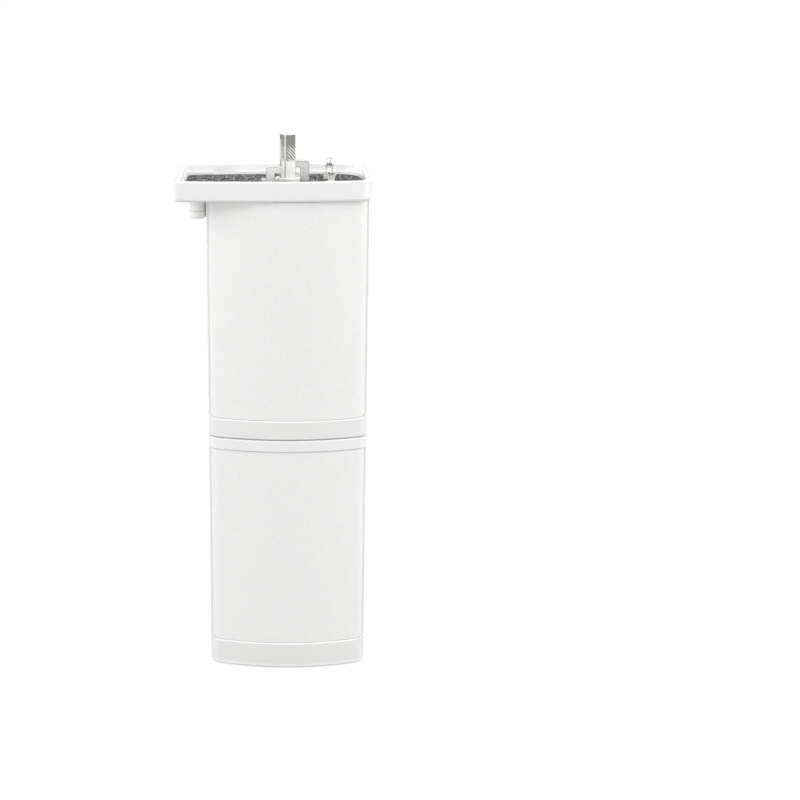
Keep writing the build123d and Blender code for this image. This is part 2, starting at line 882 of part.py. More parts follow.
with BuildPart() as pinion:
    extrude(gear_face(stage_one_base, sun_outline), amount=stage_one_width)
    round_post(motor_shaft_radius + press_gap, stage_one_base, carrier_one_base, [(0, 0)], Mode.SUBTRACT)

with BuildPart() as stage_one_carrier:
    round_post(carrier_radius, carrier_one_base, carrier_one_top, [(0, 0)])
    round_post(planet_pin_radius, stage_one_base, carrier_one_base, planet_places)
    extrude(gear_face(carrier_one_top, sun_outline), amount=carrier_two_base - gear_float - carrier_one_top)

with BuildPart() as stage_two_carrier:
    round_post(carrier_radius, carrier_two_base, carrier_two_top, [(0, 0)])
    round_post(planet_pin_radius, stage_two_base, carrier_two_base, planet_places)
    with BuildSketch(Plane.XY.offset(carrier_two_base)):
        Rectangle(spigot_side + 2 * press_gap, spigot_side + 2 * press_gap)
    extrude(amount=carrier_two_plate, mode=Mode.SUBTRACT)


def planet_gear(angle, base, width):
    """One planet, turned so that a space faces both the sun's tooth and the ring's tooth."""
    outline = gear_outline(planet_teeth, angle + 180 / planet_teeth, planet_radius + gear_module, tooth_gap)
    with BuildPart() as planet:
        extrude(gear_face(base, outline), amount=width)
        round_post(planet_pin_radius + running_gap, base, base + width, [(0, 0)], Mode.SUBTRACT)
    across = (planet_circle * cos(radians(angle)), planet_circle * sin(radians(angle)), 0)
    return planet.part.moved(Location(across))


planets = {}
for letter, angle in zip("abc", planet_angles):
    planets[f"planet_one_{letter}"] = planet_gear(angle, stage_one_base, stage_one_width)
    planets[f"planet_two_{letter}"] = planet_gear(angle, stage_two_base, stage_two_width)

# Motor: drawn can with its nose, bushes, magnets, armature, commutator, brushes and end cap
with BuildPart() as motor_can:
    round_post(can_radius, can_base, gearbox_base, [(0, 0)])
    round_post(can_radius - can_wall, can_base, gearbox_base - can_wall, [(0, 0)], Mode.SUBTRACT)
    round_post(can_nose, gearbox_base, gearbox_base + can_nose_rise, [(0, 0)])
    round_post(motor_bush_radius + press_gap, can_base, ring_base, [(0, 0)], Mode.SUBTRACT)
    round_post(
        gearbox_bolt_radius + thread_gap,
        gearbox_base - can_wall,
        gearbox_base,
        motor_screw_places,
        Mode.SUBTRACT,
    )

with BuildPart() as motor_bushes:
    round_post(motor_bush_radius, gearbox_base - can_wall, gearbox_base + can_nose_rise, [(0, 0)])
    round_post(motor_bush_radius, end_cap_base, can_base, [(0, 0)])
    round_post(motor_shaft_radius + running_gap, end_cap_base, ring_base, [(0, 0)], Mode.SUBTRACT)

with BuildPart() as motor_magnets:
    with BuildSketch(Plane.XY.offset(magnet_base)):
        reach = 2 * can_radius
        edge = radians(magnet_arc / 2)
        for s in both_sides:
            with BuildLine():
                Polyline(
                    (0, 0),
                    (s * reach * cos(edge), -reach * sin(edge)),
                    (s * reach, -reach * sin(edge)),
                    (s * reach, reach * sin(edge)),
                    (s * reach * cos(edge), reach * sin(edge)),
                    close=True,
                )
            make_face()
        Circle(can_radius - can_wall - press_gap, mode=Mode.INTERSECT)
        Circle(can_radius - can_wall - magnet_thickness, mode=Mode.SUBTRACT)
    extrude(amount=magnet_length)

with BuildPart() as rotor_shaft:
    round_post(motor_shaft_radius, encoder_base, carrier_one_base - gear_float - fit_gap, [(0, 0)])

with BuildPart() as encoder_magnet:
    round_post(encoder_radius, encoder_base, encoder_base + encoder_height, [(0, 0)])
    round_post(motor_shaft_radius + press_gap, encoder_base, end_cap_base, [(0, 0)], Mode.SUBTRACT)

with BuildPart() as armature_core:
    with BuildSketch(Plane.XY.offset(core_base)):
        Circle(core_radius)
        with PolarLocations(slot_circle, core_slots):
            Circle(slot_radius, mode=Mode.SUBTRACT)
            Rectangle(
                core_radius,
                slot_mouth,
                align=(Align.MIN, Align.CENTER),
                mode=Mode.SUBTRACT,
            )
        Circle(motor_shaft_radius + press_gap, mode=Mode.SUBTRACT)
    extrude(amount=core_length)

with BuildPart() as armature_windings:
    with BuildSketch(Plane.XY.offset(winding_base)):
        with PolarLocations(slot_circle, core_slots):
            Circle(slot_radius - winding_gap)
    extrude(amount=core_length + 2 * winding_length)
    for low in (winding_base, core_base + core_length + winding_gap):
        high = low + winding_length - winding_gap
        round_post(slot_circle + slot_radius, low, high, [(0, 0)])
        round_post(winding_inner, low, high, [(0, 0)], Mode.SUBTRACT)

with BuildPart() as commutator:
    with BuildSketch(Plane.XY.offset(commutator_base)):
        Circle(commutator_radius)
        with PolarLocations(0, core_slots):
            Rectangle(
                2 * commutator_radius,
                slot_mouth / 4,
                align=(Align.MIN, Align.CENTER),
                mode=Mode.SUBTRACT,
            )
        Circle((commutator_radius + motor_shaft_radius) / 2)
        Circle(motor_shaft_radius + press_gap, mode=Mode.SUBTRACT)
    extrude(amount=commutator_length)

with BuildPart() as brush_terminals:
    brush_centre = commutator_base + commutator_length / 2
    brush_inner = commutator_radius + brush_gap
    for s in both_sides:
        with Locations((s * (brush_inner + brush_length / 2), 0, brush_centre)):
            Box(brush_length, terminal_width, brush_height)
        with Locations((s * (brush_inner + terminal_x + terminal_thickness / 2) / 2, 0, brush_centre)):
            Box(terminal_x + terminal_thickness / 2 - brush_inner, terminal_width, terminal_thickness)
        with Locations((s * terminal_x, 0, board_top)):
            Box(terminal_thickness, terminal_width, brush_centre - board_top, align=STANDING)

with BuildPart() as motor_end_cap:
    round_post(can_radius, end_cap_base, can_base, [(0, 0)])
    round_post(can_radius - can_wall - fit_gap, can_base, can_base + commutator_rise, [(0, 0)])
    round_post(can_radius - can_wall - magnet_thickness, can_base, commutator_base, [(0, 0)], Mode.SUBTRACT)
    round_post(motor_bush_radius + press_gap, end_cap_base, can_base, [(0, 0)], Mode.SUBTRACT)
    with Locations([(s * terminal_x, 0, end_cap_base) for s in both_sides]):
        Box(
            terminal_thickness + 2 * press_gap,
            terminal_width + 2 * press_gap,
            end_cap_thickness,
            align=STANDING,
            mode=Mode.SUBTRACT,
        )

# Rubber rings that steady the motor between the front and rear walls
with BuildPart() as damper_pads:
    with Locations([(0, 0, low) for low in damper_bases]):
        Box(damper_pad, 4 * (front_reach + rear_reach), damper_width, align=STANDING)
    extrude(body_section(can_base, wall + 3 * fit_gap), amount=can_length, mode=Mode.INTERSECT)

with BuildPart() as damper_rings:
    add(damper_pads.part)
    for low in damper_bases:
        round_post(can_radius + damper_thickness, low, low + damper_width, [(0, 0)])
    round_post(can_radius + press_gap, can_base, gearbox_base, [(0, 0)], Mode.SUBTRACT)

# Drive housing: a tube with screw ports in its corners, and its face panels
with BuildPart() as upper_ports:
    round_post(boss_radius, frame_top, head_base, boss_places)
    extrude(body_section(frame_top, wall / 2), amount=head_base - frame_top, mode=Mode.INTERSECT)

with BuildPart() as upper_housing:
    extrude(body_section(motor_base), amount=head_base - motor_base)
    fillet(upper_housing.edges().group_by(Axis.Z)[0], edge_break)
    fillet(upper_housing.edges().group_by(Axis.Z)[-1], edge_break)
    extrude(body_section(motor_base, wall), amount=head_base - motor_base, mode=Mode.SUBTRACT)
    add(upper_ports.part)
    round_post(thread_radius, frame_top, head_base, boss_places, Mode.SUBTRACT)
    add(panel_pocket(panel_edge_y, motor_base + motor_band, head_base, front_reach), mode=Mode.SUBTRACT)
    chamfer(window_rim(upper_housing, motor_base + motor_band), panel_bevel)
    add(panel_pocket(rear_panel_edge_y, motor_base + motor_band, head_base, rear_reach), mode=Mode.SUBTRACT)
    chamfer(window_rim(upper_housing, motor_base + motor_band), panel_bevel)

with BuildPart() as upper_front_panel:
    add(face_panel(panel_edge_y, motor_base + motor_band, head_base, front_reach))

with BuildPart() as upper_rear_panel:
    add(face_panel(rear_panel_edge_y, motor_base + motor_band, head_base, rear_reach))

# End frame: closes the tube's lower end and carries the encoder board and the contact block
with BuildPart() as end_frame:
    extrude(body_section(motor_base, wall + fit_gap), amount=frame_thickness)
    round_post(screw_hole, motor_base, frame_top, boss_places, Mode.SUBTRACT)
    round_post(post_radius, frame_top, board_base, encoder_peg_places)
    round_post(peg_radius, board_base, board_top + peg_head, encoder_peg_places)
    add(
        rounded_plate(
            motor_base,
            frame_thickness,
            contact_block_width + 2 * fit_gap,
            contact_block_length + 2 * fit_gap,
            fit_gap + contact_flange,
            contact_centre,
        ),
        mode=Mode.SUBTRACT,
    )

with BuildPart() as encoder_board:
    add(rounded_plate(board_base, board_thickness, encoder_board_width, encoder_board_length, board_round))
    round_post(peg_radius + fit_gap, board_base, board_top, encoder_peg_places, Mode.SUBTRACT)

with BuildPart() as contact_block:
    add(
        rounded_plate(
            motor_base,
            board_base - motor_base,
            contact_block_width,
            contact_block_length,
            contact_flange,
            contact_centre,
        )
    )
    add(
        rounded_plate(
            frame_top,
            board_stand,
            contact_block_width + 2 * contact_flange,
            contact_block_length + 2 * contact_flange,
            2 * contact_flange,
            contact_centre,
        )
    )
    round_post(contact_radius + press_gap, motor_base, board_base, contact_places, Mode.SUBTRACT)

with BuildPart() as contact_pins:
    round_post(contact_radius, pack_top - contact_depth, board_base, contact_places)
    chamfer(contact_pins.edges().group_by(Axis.Z)[0], contact_radius / 3)

with BuildPart() as seam_seal:
    extrude(body_section(pack_top, seal_inset), amount=seam_gap)
    extrude(body_section(pack_top, seal_inset + seal_width), amount=seam_gap, mode=Mode.SUBTRACT)

# Power pack: lid with its visible band, tube, panels
with BuildPart() as lid_skirt_ring:
    extrude(body_section(collar_band_base - lid_skirt, wall + fit_gap), amount=lid_skirt)
    extrude(
        body_section(collar_band_base - lid_skirt, wall + fit_gap + lid_skirt_wall),
        amount=lid_skirt,
        mode=Mode.SUBTRACT,
    )
    round_post(
        boss_radius + slot_gap,
        collar_band_base - lid_skirt,
        collar_band_base,
        boss_places,
        Mode.SUBTRACT,
    )

with BuildPart() as lid_ports:
    round_post(boss_radius, collar_band_base, lid_base, boss_places)
    extrude(body_section(collar_band_base, wall / 2), amount=collar_band, mode=Mode.INTERSECT)

with BuildPart() as pack_lid:
    extrude(body_section(collar_band_base), amount=collar_band)
    fillet(pack_lid.edges().group_by(Axis.Z)[-1], lid_round)
    fillet(pack_lid.edges().group_by(Axis.Z)[0], edge_break)
    extrude(
        body_section(collar_band_base, wall + lid_skirt_wall),
        amount=collar_band - lid_thickness,
        mode=Mode.SUBTRACT,
    )
    add(lid_skirt_ring.part)
    add(lid_ports.part)
    round_post(screw_hole, collar_band_base - lid_skirt, pack_top, boss_places, Mode.SUBTRACT)
    with Locations((*contact_centre, lid_base)):
        Box(
            contact_block_width + 2 * fit_gap,
            contact_block_length + 2 * fit_gap,
            lid_thickness,
            align=STANDING,
            mode=Mode.SUBTRACT,
        )

with BuildPart() as lower_ports:
    round_post(boss_radius, base_thickness, collar_band_base, boss_places)
    extrude(body_section(0, wall / 2), amount=collar_band_base, mode=Mode.INTERSECT)

with BuildPart() as lower_housing:
    extrude(body_section(0), amount=collar_band_base)
    fillet(lower_housing.edges().group_by(Axis.Z)[-1], edge_break)
    fillet(lower_housing.edges().group_by(Axis.Z)[0], base_round)
    extrude(body_section(0, wall), amount=collar_band_base, mode=Mode.SUBTRACT)
    add(lower_ports.part)
    round_post(screw_hole, base_thickness, collar_band_base, boss_places, Mode.SUBTRACT)
    add(panel_pocket(panel_edge_y, base_band, collar_band_base, front_reach), mode=Mode.SUBTRACT)
    chamfer(window_rim(lower_housing, base_band), panel_bevel)
    add(panel_pocket(rear_panel_edge_y, base_band, collar_band_base, rear_reach), mode=Mode.SUBTRACT)
    chamfer(window_rim(lower_housing, base_band), panel_bevel)

with BuildPart() as lower_front_panel:
    add(face_panel(panel_edge_y, base_band, collar_band_base, front_reach))

with BuildPart() as lower_rear_panel:
    add(face_panel(rear_panel_edge_y, base_band, collar_band_base, rear_reach))

# Cells, their strips and the two holders
with BuildPart() as battery_cells:
    round_post(cell_radius, cell_floor, cell_top, cell_places)
    fillet(battery_cells.edges(), edge_break)

with BuildPart() as cell_strips:
    with Locations([(x, 0, cell_floor - strip_thickness) for x in cell_lines_x]):
        Box(strip_width, cell_pitch + strip_width, strip_thickness, align=STANDING)
    with Locations((cell_centre_x, cell_pitch / 2, cell_top)):
        Box(cell_pitch + strip_width, strip_width, strip_thickness, align=STANDING)
    with Locations([(x, -cell_pitch / 2, cell_top) for x in cell_lines_x]):
        Box(strip_width, strip_width, strip_thickness, align=STANDING)

with BuildPart() as cell_holder_base:
    with BuildSketch(Plane.XY.offset(holder_base)):
        with Locations(holder_centre):
            Rectangle(holder_left + holder_right, 2 * holder_half_depth)
        with Locations(boss_places):
            Circle(boss_radius + slot_gap, mode=Mode.SUBTRACT)
    extrude(amount=cell_floor + holder_lip - holder_base)
    round_post(
        cell_radius + holder_gap,
        cell_floor - strip_thickness,
        cell_floor + holder_lip,
        cell_places,
        Mode.SUBTRACT,
    )
    with Locations([(x, 0, cell_floor - strip_thickness) for x in cell_lines_x]):
        Box(strip_width, cell_pitch, holder_lip + strip_thickness, align=STANDING, mode=Mode.SUBTRACT)
    with Locations((board_x + board_thickness / 2, 0, main_board_base)):
        Box(
            board_thickness + 2 * board_gap,
            board_width + 2 * board_gap,
            holder_lip + holder_plate,
            align=STANDING,
            mode=Mode.SUBTRACT,
        )
    round_post(leg_radius, base_thickness, holder_base, leg_places)

with BuildPart() as cell_holder_top:
    with BuildSketch(Plane.XY.offset(cell_top - holder_lip)):
        with Locations(holder_centre):
            Rectangle(holder_left + holder_right, 2 * holder_half_depth)
        with Locations(boss_places):
            Circle(boss_radius + slot_gap, mode=Mode.SUBTRACT)
    extrude(amount=holder_top + holder_lip - cell_top)
    round_post(
        cell_radius + holder_gap,
        cell_top - holder_lip,
        cell_top + strip_thickness,
        cell_places,
        Mode.SUBTRACT,
    )
    with Locations((cell_centre_x, cell_pitch / 2, cell_top - holder_lip)):
        Box(cell_pitch, strip_width, holder_lip + strip_thickness, align=STANDING, mode=Mode.SUBTRACT)
    with Locations((board_x + board_thickness / 2, 0, cell_top - holder_lip)):
        Box(
            board_thickness + 2 * board_gap,
            board_width + 2 * board_gap,
            2 * holder_lip + holder_plate,
            align=STANDING,
            mode=Mode.SUBTRACT,
        )
    with Locations((*contact_centre, cell_top - holder_lip)):
        Box(
            contact_block_width + 2 * board_gap,
            contact_block_length + 2 * board_gap,
            2 * holder_lip + holder_plate,
            align=STANDING,
            mode=Mode.SUBTRACT,
        )
    round_post(leg_radius, holder_top, lid_base, leg_places)

# Control board with the parts on it, and the parts on the charge board
with BuildPart() as main_board:
    with Locations((board_x + board_thickness / 2, 0, main_board_base)):
        Box(board_thickness, board_width, main_board_top - main_board_base, align=STANDING)

with BuildPart() as board_parts:
    part_face = board_x + board_thickness
    with Locations((part_face + module_thickness / 2, 0, main_board_base + module_rise)):
        Box(module_thickness, module_width, module_length, align=STANDING)
    with Locations((part_face + chip_thickness / 2, 0, main_board_base + chip_rise)):
        Box(chip_thickness, chip_size, chip_size)
    with Locations(Plane.YZ.offset(part_face)):
        with Locations((capacitor_y, main_board_base + capacitor_rise)):
            Cylinder(capacitor_radius, capacitor_length, align=STANDING)
    with Locations((*contact_centre, main_board_top - socket_grip)):
        Box(
            contact_block_width,
            contact_block_length,
            pack_top - main_board_top + socket_grip,
            align=STANDING,
        )
    with Locations((*contact_centre, main_board_top - socket_grip)):
        Box(board_thickness, contact_block_length, socket_grip, align=STANDING, mode=Mode.SUBTRACT)
    round_post(
        contact_radius + contact_gap,
        pack_top - contact_depth - contact_floor,
        pack_top,
        contact_places,
        Mode.SUBTRACT,
    )
    with Locations((button_x, well_y, switch_base)):
        Box(switch_size, switch_size, charge_board_base - switch_base, align=STANDING)
    with Locations((lens_x, well_y, charge_board_base - lamp_height)):
        Box(lamp_size, lamp_size, lamp_height, align=STANDING)

# Base plate with its well, and what shows in the well
with BuildPart() as base_plate:
    extrude(body_section(0, wall + fit_gap), amount=base_thickness)
    add(
        rounded_plate(0, well_depth, well_width, well_length, well_length / 3, (0, well_y)),
        mode=Mode.SUBTRACT,
    )
    round_post(screw_hole, 0, base_thickness, boss_places, Mode.SUBTRACT)
    round_post(screw_head_radius + screw_head_gap, 0, pack_bolt_seat, boss_places, Mode.SUBTRACT)
    round_post(button_radius + button_gap, 0, base_thickness, [(button_x, well_y)], Mode.SUBTRACT)
    round_post(lens_radius + press_gap, 0, base_thickness, [(lens_x, well_y)], Mode.SUBTRACT)
    add(
        rounded_plate(
            0,
            base_thickness,
            port_width + 2 * fit_gap,
            port_height + 2 * fit_gap,
            port_height / 2,
            (0, well_y),
        ),
        mode=Mode.SUBTRACT,
    )
    round_post(stand_radius, base_thickness, charge_board_base, stand_places)

with BuildPart() as charge_board:
    add(
        rounded_plate(
            charge_board_base,
            board_thickness,
            charge_board_width,
            well_length,
            board_round,
            (0, well_y),
        )
    )

with BuildPart() as charge_port:
    add(rounded_plate(well_depth, port_depth, port_width, port_height, 0.49 * port_height, (0, well_y)))
    add(
        rounded_plate(
            well_depth,
            port_depth - 2 * port_wall,
            port_width - 2 * port_wall,
            port_height - 2 * port_wall,
            0.49 * (port_height - 2 * port_wall),
            (0, well_y),
        ),
        mode=Mode.SUBTRACT,
    )
    with Locations((0, well_y, charge_board_base - 2 * port_wall - port_tongue_length)):
        Box(port_tongue_width, port_tongue_thickness, port_tongue_length, align=STANDING)

with BuildPart() as setting_button:
    round_post(button_radius, well_depth, base_thickness + button_gap, [(button_x, well_y)])
    fillet(setting_button.edges().group_by(Axis.Z)[0], edge_break)
    round_post(
        button_radius + button_flange,
        base_thickness + button_gap,
        base_thickness + button_gap + button_flange,
        [(button_x, well_y)],
    )

with BuildPart() as status_lens:
    round_post(lens_radius, well_depth, charge_board_base - lamp_height - lens_gap, [(lens_x, well_y)])
    round_post(lens_radius + lens_flange, base_thickness, base_thickness + lens_flange, [(lens_x, well_y)])

with BuildPart() as pack_bolts:
    add_screws(
        boss_places,
        pack_bolt_seat,
        frame_top + bolt_grip - pack_bolt_seat,
        screw_radius,
        screw_head_radius,
        points_up=True,
    )

pieces = {
    "head_housing": head_housing.part,
    "head_gasket": head_gasket.part,
    "catch_plate": catch_plate.part,
    "locating_pins": locating_pins.part,
    "plunger_knob": plunger_knob.part,
    "plunger_pin": plunger_pin.part,
    "plunger_guide": plunger_guide.part,
    "plunger_spring": plunger_spring.part,
    "output_shaft": output_shaft.part,
    "shaft_collar": shaft_collar.part,
    "output_bearing": output_bearing.part,
    "gearbox_cover": gearbox_cover.part,
    "ring_gear": ring_gear.part,
    "gearbox_base_plate": gearbox_base_plate.part,
    "gearbox_bolts": gearbox_bolts.part,
    "tray_screws": tray_screws.part,
    "pinion": pinion.part,
    "stage_one_carrier": stage_one_carrier.part,
    "stage_two_carrier": stage_two_carrier.part,
    **planets,
    "motor_can": motor_can.part,
    "motor_bushes": motor_bushes.part,
    "motor_magnets": motor_magnets.part,
    "rotor_shaft": rotor_shaft.part,
    "encoder_magnet": encoder_magnet.part,
    "armature_core": armature_core.part,
    "armature_windings": armature_windings.part,
    "commutator": commutator.part,
    "brush_terminals": brush_terminals.part,
    "motor_end_cap": motor_end_cap.part,
    "damper_rings": damper_rings.part,
    "upper_housing": upper_housing.part,
    "upper_front_panel": upper_front_panel.part,
    "upper_rear_panel": upper_rear_panel.part,
    "end_frame": end_frame.part,
    "encoder_board": encoder_board.part,
    "contact_block": contact_block.part,
    "contact_pins": contact_pins.part,
    "seam_seal": seam_seal.part,
    "pack_lid": pack_lid.part,
    "lower_housing": lower_housing.part,
    "lower_front_panel": lower_front_panel.part,
    "lower_rear_panel": lower_rear_panel.part,
    "battery_cells": battery_cells.part,
    "cell_strips": cell_strips.part,
    "cell_holder_base": cell_holder_base.part,
    "cell_holder_top": cell_holder_top.part,
    "main_board": main_board.part,
    "board_parts": board_parts.part,
    "base_plate": base_plate.part,
    "charge_board": charge_board.part,
    "charge_port": charge_port.part,
    "setting_button": setting_button.part,
    "status_lens": status_lens.part,
    "pack_bolts": pack_bolts.part,
}

for name, piece in pieces.items():
    piece.label = name
    export_step(piece, f"parts/{name}.step")
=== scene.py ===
# %% [markdown]
# # A curtain motor, dressed for the camera
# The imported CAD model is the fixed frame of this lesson. It already holds every piece at its real size,
# so nothing here moves or resizes a part. What is left is the finish: smooth shading, fine forms,
# materials, light, and a camera that stands where the photographer stood.

import json
from functools import partial
from math import atan2, degrees, pi, radians

import bmesh
import bpy
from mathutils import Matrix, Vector


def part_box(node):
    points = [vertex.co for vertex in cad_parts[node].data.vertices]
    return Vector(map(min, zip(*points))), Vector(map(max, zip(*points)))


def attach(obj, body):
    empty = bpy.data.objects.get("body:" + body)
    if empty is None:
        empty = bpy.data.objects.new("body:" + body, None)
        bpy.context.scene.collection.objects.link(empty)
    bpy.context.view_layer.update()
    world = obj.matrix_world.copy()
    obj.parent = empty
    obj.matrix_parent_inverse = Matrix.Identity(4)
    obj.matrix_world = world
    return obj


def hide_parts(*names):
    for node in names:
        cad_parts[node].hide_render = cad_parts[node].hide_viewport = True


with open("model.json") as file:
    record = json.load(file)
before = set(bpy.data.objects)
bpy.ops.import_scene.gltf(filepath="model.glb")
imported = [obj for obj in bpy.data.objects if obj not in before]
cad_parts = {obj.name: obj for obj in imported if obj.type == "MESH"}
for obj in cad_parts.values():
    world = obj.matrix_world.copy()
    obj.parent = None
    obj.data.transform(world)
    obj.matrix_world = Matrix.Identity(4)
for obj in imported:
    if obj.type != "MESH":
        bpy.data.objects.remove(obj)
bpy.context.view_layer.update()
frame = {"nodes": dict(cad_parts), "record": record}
millimetre = 0.001

# %% [markdown]
# ## Two everyday helpers
# One writes lengths in millimetres, the drawing's unit. The other makes an object and puts it in the scene.

# %% Everyday helpers
def in_millimetres(lengths, digits=1):
    return [round(length / millimetre, digits) for length in lengths]


def into_scene(name, data):
    thing = bpy.data.objects.new(name, data)
    bpy.context.scene.collection.objects.link(thing)
    return thing


# %% [markdown]
# ## Camera
# A product shot is taken from far away with a long lens, so that upright edges stay nearly upright. The
# object stands left of the middle. Turning the camera towards it would tilt the verticals, so the lens is
# shifted sideways instead, as an architectural photographer does.

# %% Camera
camera_place = (-0.0030, -0.6776, 0.3013)
camera_dip = radians(15.86)
camera_lens = 76.4
camera_shift = 0.1497
film_width = 36.0

camera_data = bpy.data.cameras.new("Camera")
camera_data.lens = camera_lens
camera_data.sensor_width = film_width
camera_data.sensor_fit = "HORIZONTAL"
camera_data.shift_x = camera_shift
camera = into_scene("Camera", camera_data)
camera.location = camera_place
camera.rotation_euler = (radians(90) - camera_dip, 0, 0)
bpy.context.scene.camera = camera
bpy.context.scene.view_settings.view_transform = "Standard"
print("camera", camera_lens, "mm lens, looking down", round(degrees(camera_dip), 2), "degrees")

# %% [markdown]
# ## Small helpers for node trees
# Materials and Geometry Nodes are both trees of nodes. A few helpers keep the cells short. Two fill
# sockets, with a link or with a plain value, and one adds a node with its settings and inputs. The rest
# each add a node that many trees need, and return the socket with its answer.

# %% Node helpers
def link(tree, source, target):
    tree.links.new(source, target)


def fill(tree, socket, term):
    if isinstance(term, bpy.types.NodeSocket):
        link(tree, term, socket)
    else:
        socket.default_value = term


def feed(tree, node, **terms):
    for name, term in terms.items():
        fill(tree, node.inputs[name.replace("_", " ")], term)


def add_node(tree, kind, inputs=None, **settings):
    node = tree.nodes.new(kind)
    for name, value in settings.items():
        setattr(node, name, value)
    for key, term in (inputs or {}).items():
        fill(tree, node.inputs[key], term)
    return node


def calc(tree, operation, *terms):
    return add_node(tree, "ShaderNodeMath", dict(enumerate(terms)), operation=operation).outputs["Value"]


def spread(tree, value, low, high, to_low=0.0, to_high=1.0):
    ends = {"Value": value, "From Min": low, "From Max": high, "To Min": to_low, "To Max": to_high}
    return add_node(tree, "ShaderNodeMapRange", ends).outputs["Result"]


def noise(tree, coordinates, scale, detail=3.0):
    terms = {"Vector": coordinates, "Scale": scale, "Detail": detail}
    return add_node(tree, "ShaderNodeTexNoise", terms).outputs["Fac"]


def bump(tree, height, strength, distance):
    terms = {"Height": height, "Strength": strength, "Distance": distance}
    return add_node(tree, "ShaderNodeBump", terms).outputs["Normal"]


def mixed(tree, share, first, second):
    terms = {"Factor": share, "A": first, "B": second}
    return add_node(tree, "ShaderNodeMix", terms, data_type="RGBA").outputs["Result"]


def darkened(tree, colour, share):
    terms = {0: colour, "Scale": share}
    return add_node(tree, "ShaderNodeVectorMath", terms, operation="SCALE").outputs["Vector"]


def mapped(tree, coordinates, setting, amount):
    return add_node(tree, "ShaderNodeMapping", {"Vector": coordinates, setting: amount}).outputs["Vector"]


def axes(tree, place):
    return add_node(tree, "ShaderNodeSeparateXYZ", {"Vector": place}).outputs


def point(tree, x=0.0, y=0.0, z=0.0):
    return add_node(tree, "ShaderNodeCombineXYZ", {"X": x, "Y": y, "Z": z}).outputs["Vector"]


def object_coordinates(tree):
    return add_node(tree, "ShaderNodeTexCoord").outputs["Object"]


print("node helpers ready")

# %% [markdown]
# ## Small helpers for materials and groups
# A new material starts with a Principled BSDF. An effect that several finishes share is a node group with
# named sockets, so it is built once and placed in each of them. Noise hardly leaves the middle of its
# range, so the two ends that it does reach are named here.

# %% Material and group helpers
number, vector, colour_socket = "NodeSocketFloat", "NodeSocketVector", "NodeSocketColor"
noise_low = 0.3
noise_high = 0.7


def new_material(name):
    material = bpy.data.materials.new(name)
    material.use_nodes = True
    tree = material.node_tree
    return material, tree, tree.nodes["Principled BSDF"]


def sockets(kind, *labels):
    return [(label, kind) for label in labels]


def new_tree(name, kind, inputs, outputs):
    tree = bpy.data.node_groups.new(name, kind)
    for way, ends in (("INPUT", inputs), ("OUTPUT", outputs)):
        for label, socket_type in ends:
            tree.interface.new_socket(label, in_out=way, socket_type=socket_type)
    return tree, add_node(tree, "NodeGroupInput").outputs, add_node(tree, "NodeGroupOutput").inputs


def place_group(tree, group, **terms):
    node = add_node(tree, "ShaderNodeGroup", node_tree=group)
    feed(tree, node, **terms)
    return node.outputs


looks = [*sockets(colour_socket, "Colour"), *sockets(number, "Roughness"), *sockets(vector, "Normal")]
print("a surface effect gives", [label for label, _ in looks])

# %% [markdown]
# ## A shared group: satin grain
# Moulded white plastic isn't flat. A fine spark-eroded grain breaks up its reflections, and its colour
# drifts by a percent or two over a hand's breadth. An image of the grain would be flat and would repeat,
# so noise makes it. Many finishes use it, so it is a node group, built once, with named inputs.

# %% Satin grain group
clouds_per_metre = 22.0
cloud_detail = 4.0
speck_low = 0.35
speck_high = 0.65
grain_height = 0.1 * millimetre

satin_grain, given, made = new_tree(
    "Satin grain", "ShaderNodeTree",
    [*sockets(vector, "Coordinates"), *sockets(colour_socket, "Colour"),
     *sockets(number, "Grain per metre", "Drift", "Speck", "Rough low", "Rough high", "Depth")],
    looks,
)
grain = noise(satin_grain, given["Coordinates"], given["Grain per metre"])
cloud = noise(satin_grain, given["Coordinates"], clouds_per_metre, cloud_detail)
drifted = calc(satin_grain, "MULTIPLY", cloud, given["Drift"])
specks = spread(satin_grain, grain, speck_low, speck_high)
specked = calc(satin_grain, "MULTIPLY", specks, given["Speck"])
shade = calc(satin_grain, "SUBTRACT", calc(satin_grain, "SUBTRACT", 1.0, drifted), specked)
grain_rough = spread(satin_grain, grain, noise_low, noise_high, given["Rough low"], given["Rough high"])
link(satin_grain, darkened(satin_grain, given["Colour"], shade), made["Colour"])
link(satin_grain, grain_rough, made["Roughness"])
link(satin_grain, bump(satin_grain, grain, given["Depth"], grain_height), made["Normal"])
print("group", satin_grain.name, "with", len(satin_grain.nodes), "nodes")

# %% [markdown]
# ## A shared group: painted edge shade
# A band of painted shade along each rounded edge stands in for the dark reflection that a bright metal edge
# shows. The Bevel node rounds the normal near an edge, so where it leaves the true normal there is an edge.
# Noise breaks the band up, so that it isn't even.

# %% Painted edge shade group
bevel_samples = 6
edge_agreement = 0.9
break_low = 0.35
break_high = 0.5
least_shade = 0.8
breaks_per_metre = 300.0

painted_edge_shade, given, made = new_tree(
    "Painted edge shade", "ShaderNodeTree",
    [*sockets(vector, "Coordinates"), *sockets(number, "Width", "Breaks per metre")],
    sockets(number, "Mask"),
)
rounded = add_node(painted_edge_shade, "ShaderNodeBevel", {"Radius": given["Width"]}, samples=bevel_samples)
straight = add_node(painted_edge_shade, "ShaderNodeNewGeometry").outputs["Normal"]
normals = {0: rounded.outputs["Normal"], 1: straight}
agreement = add_node(painted_edge_shade, "ShaderNodeVectorMath", normals, operation="DOT_PRODUCT").outputs["Value"]
turned_away = spread(painted_edge_shade, agreement, 1.0, edge_agreement)
edge_noise = noise(painted_edge_shade, given["Coordinates"], given["Breaks per metre"])
breaks = spread(painted_edge_shade, edge_noise, break_low, break_high, least_shade, 1.0)
link(painted_edge_shade, calc(painted_edge_shade, "MULTIPLY", turned_away, breaks), made["Mask"])
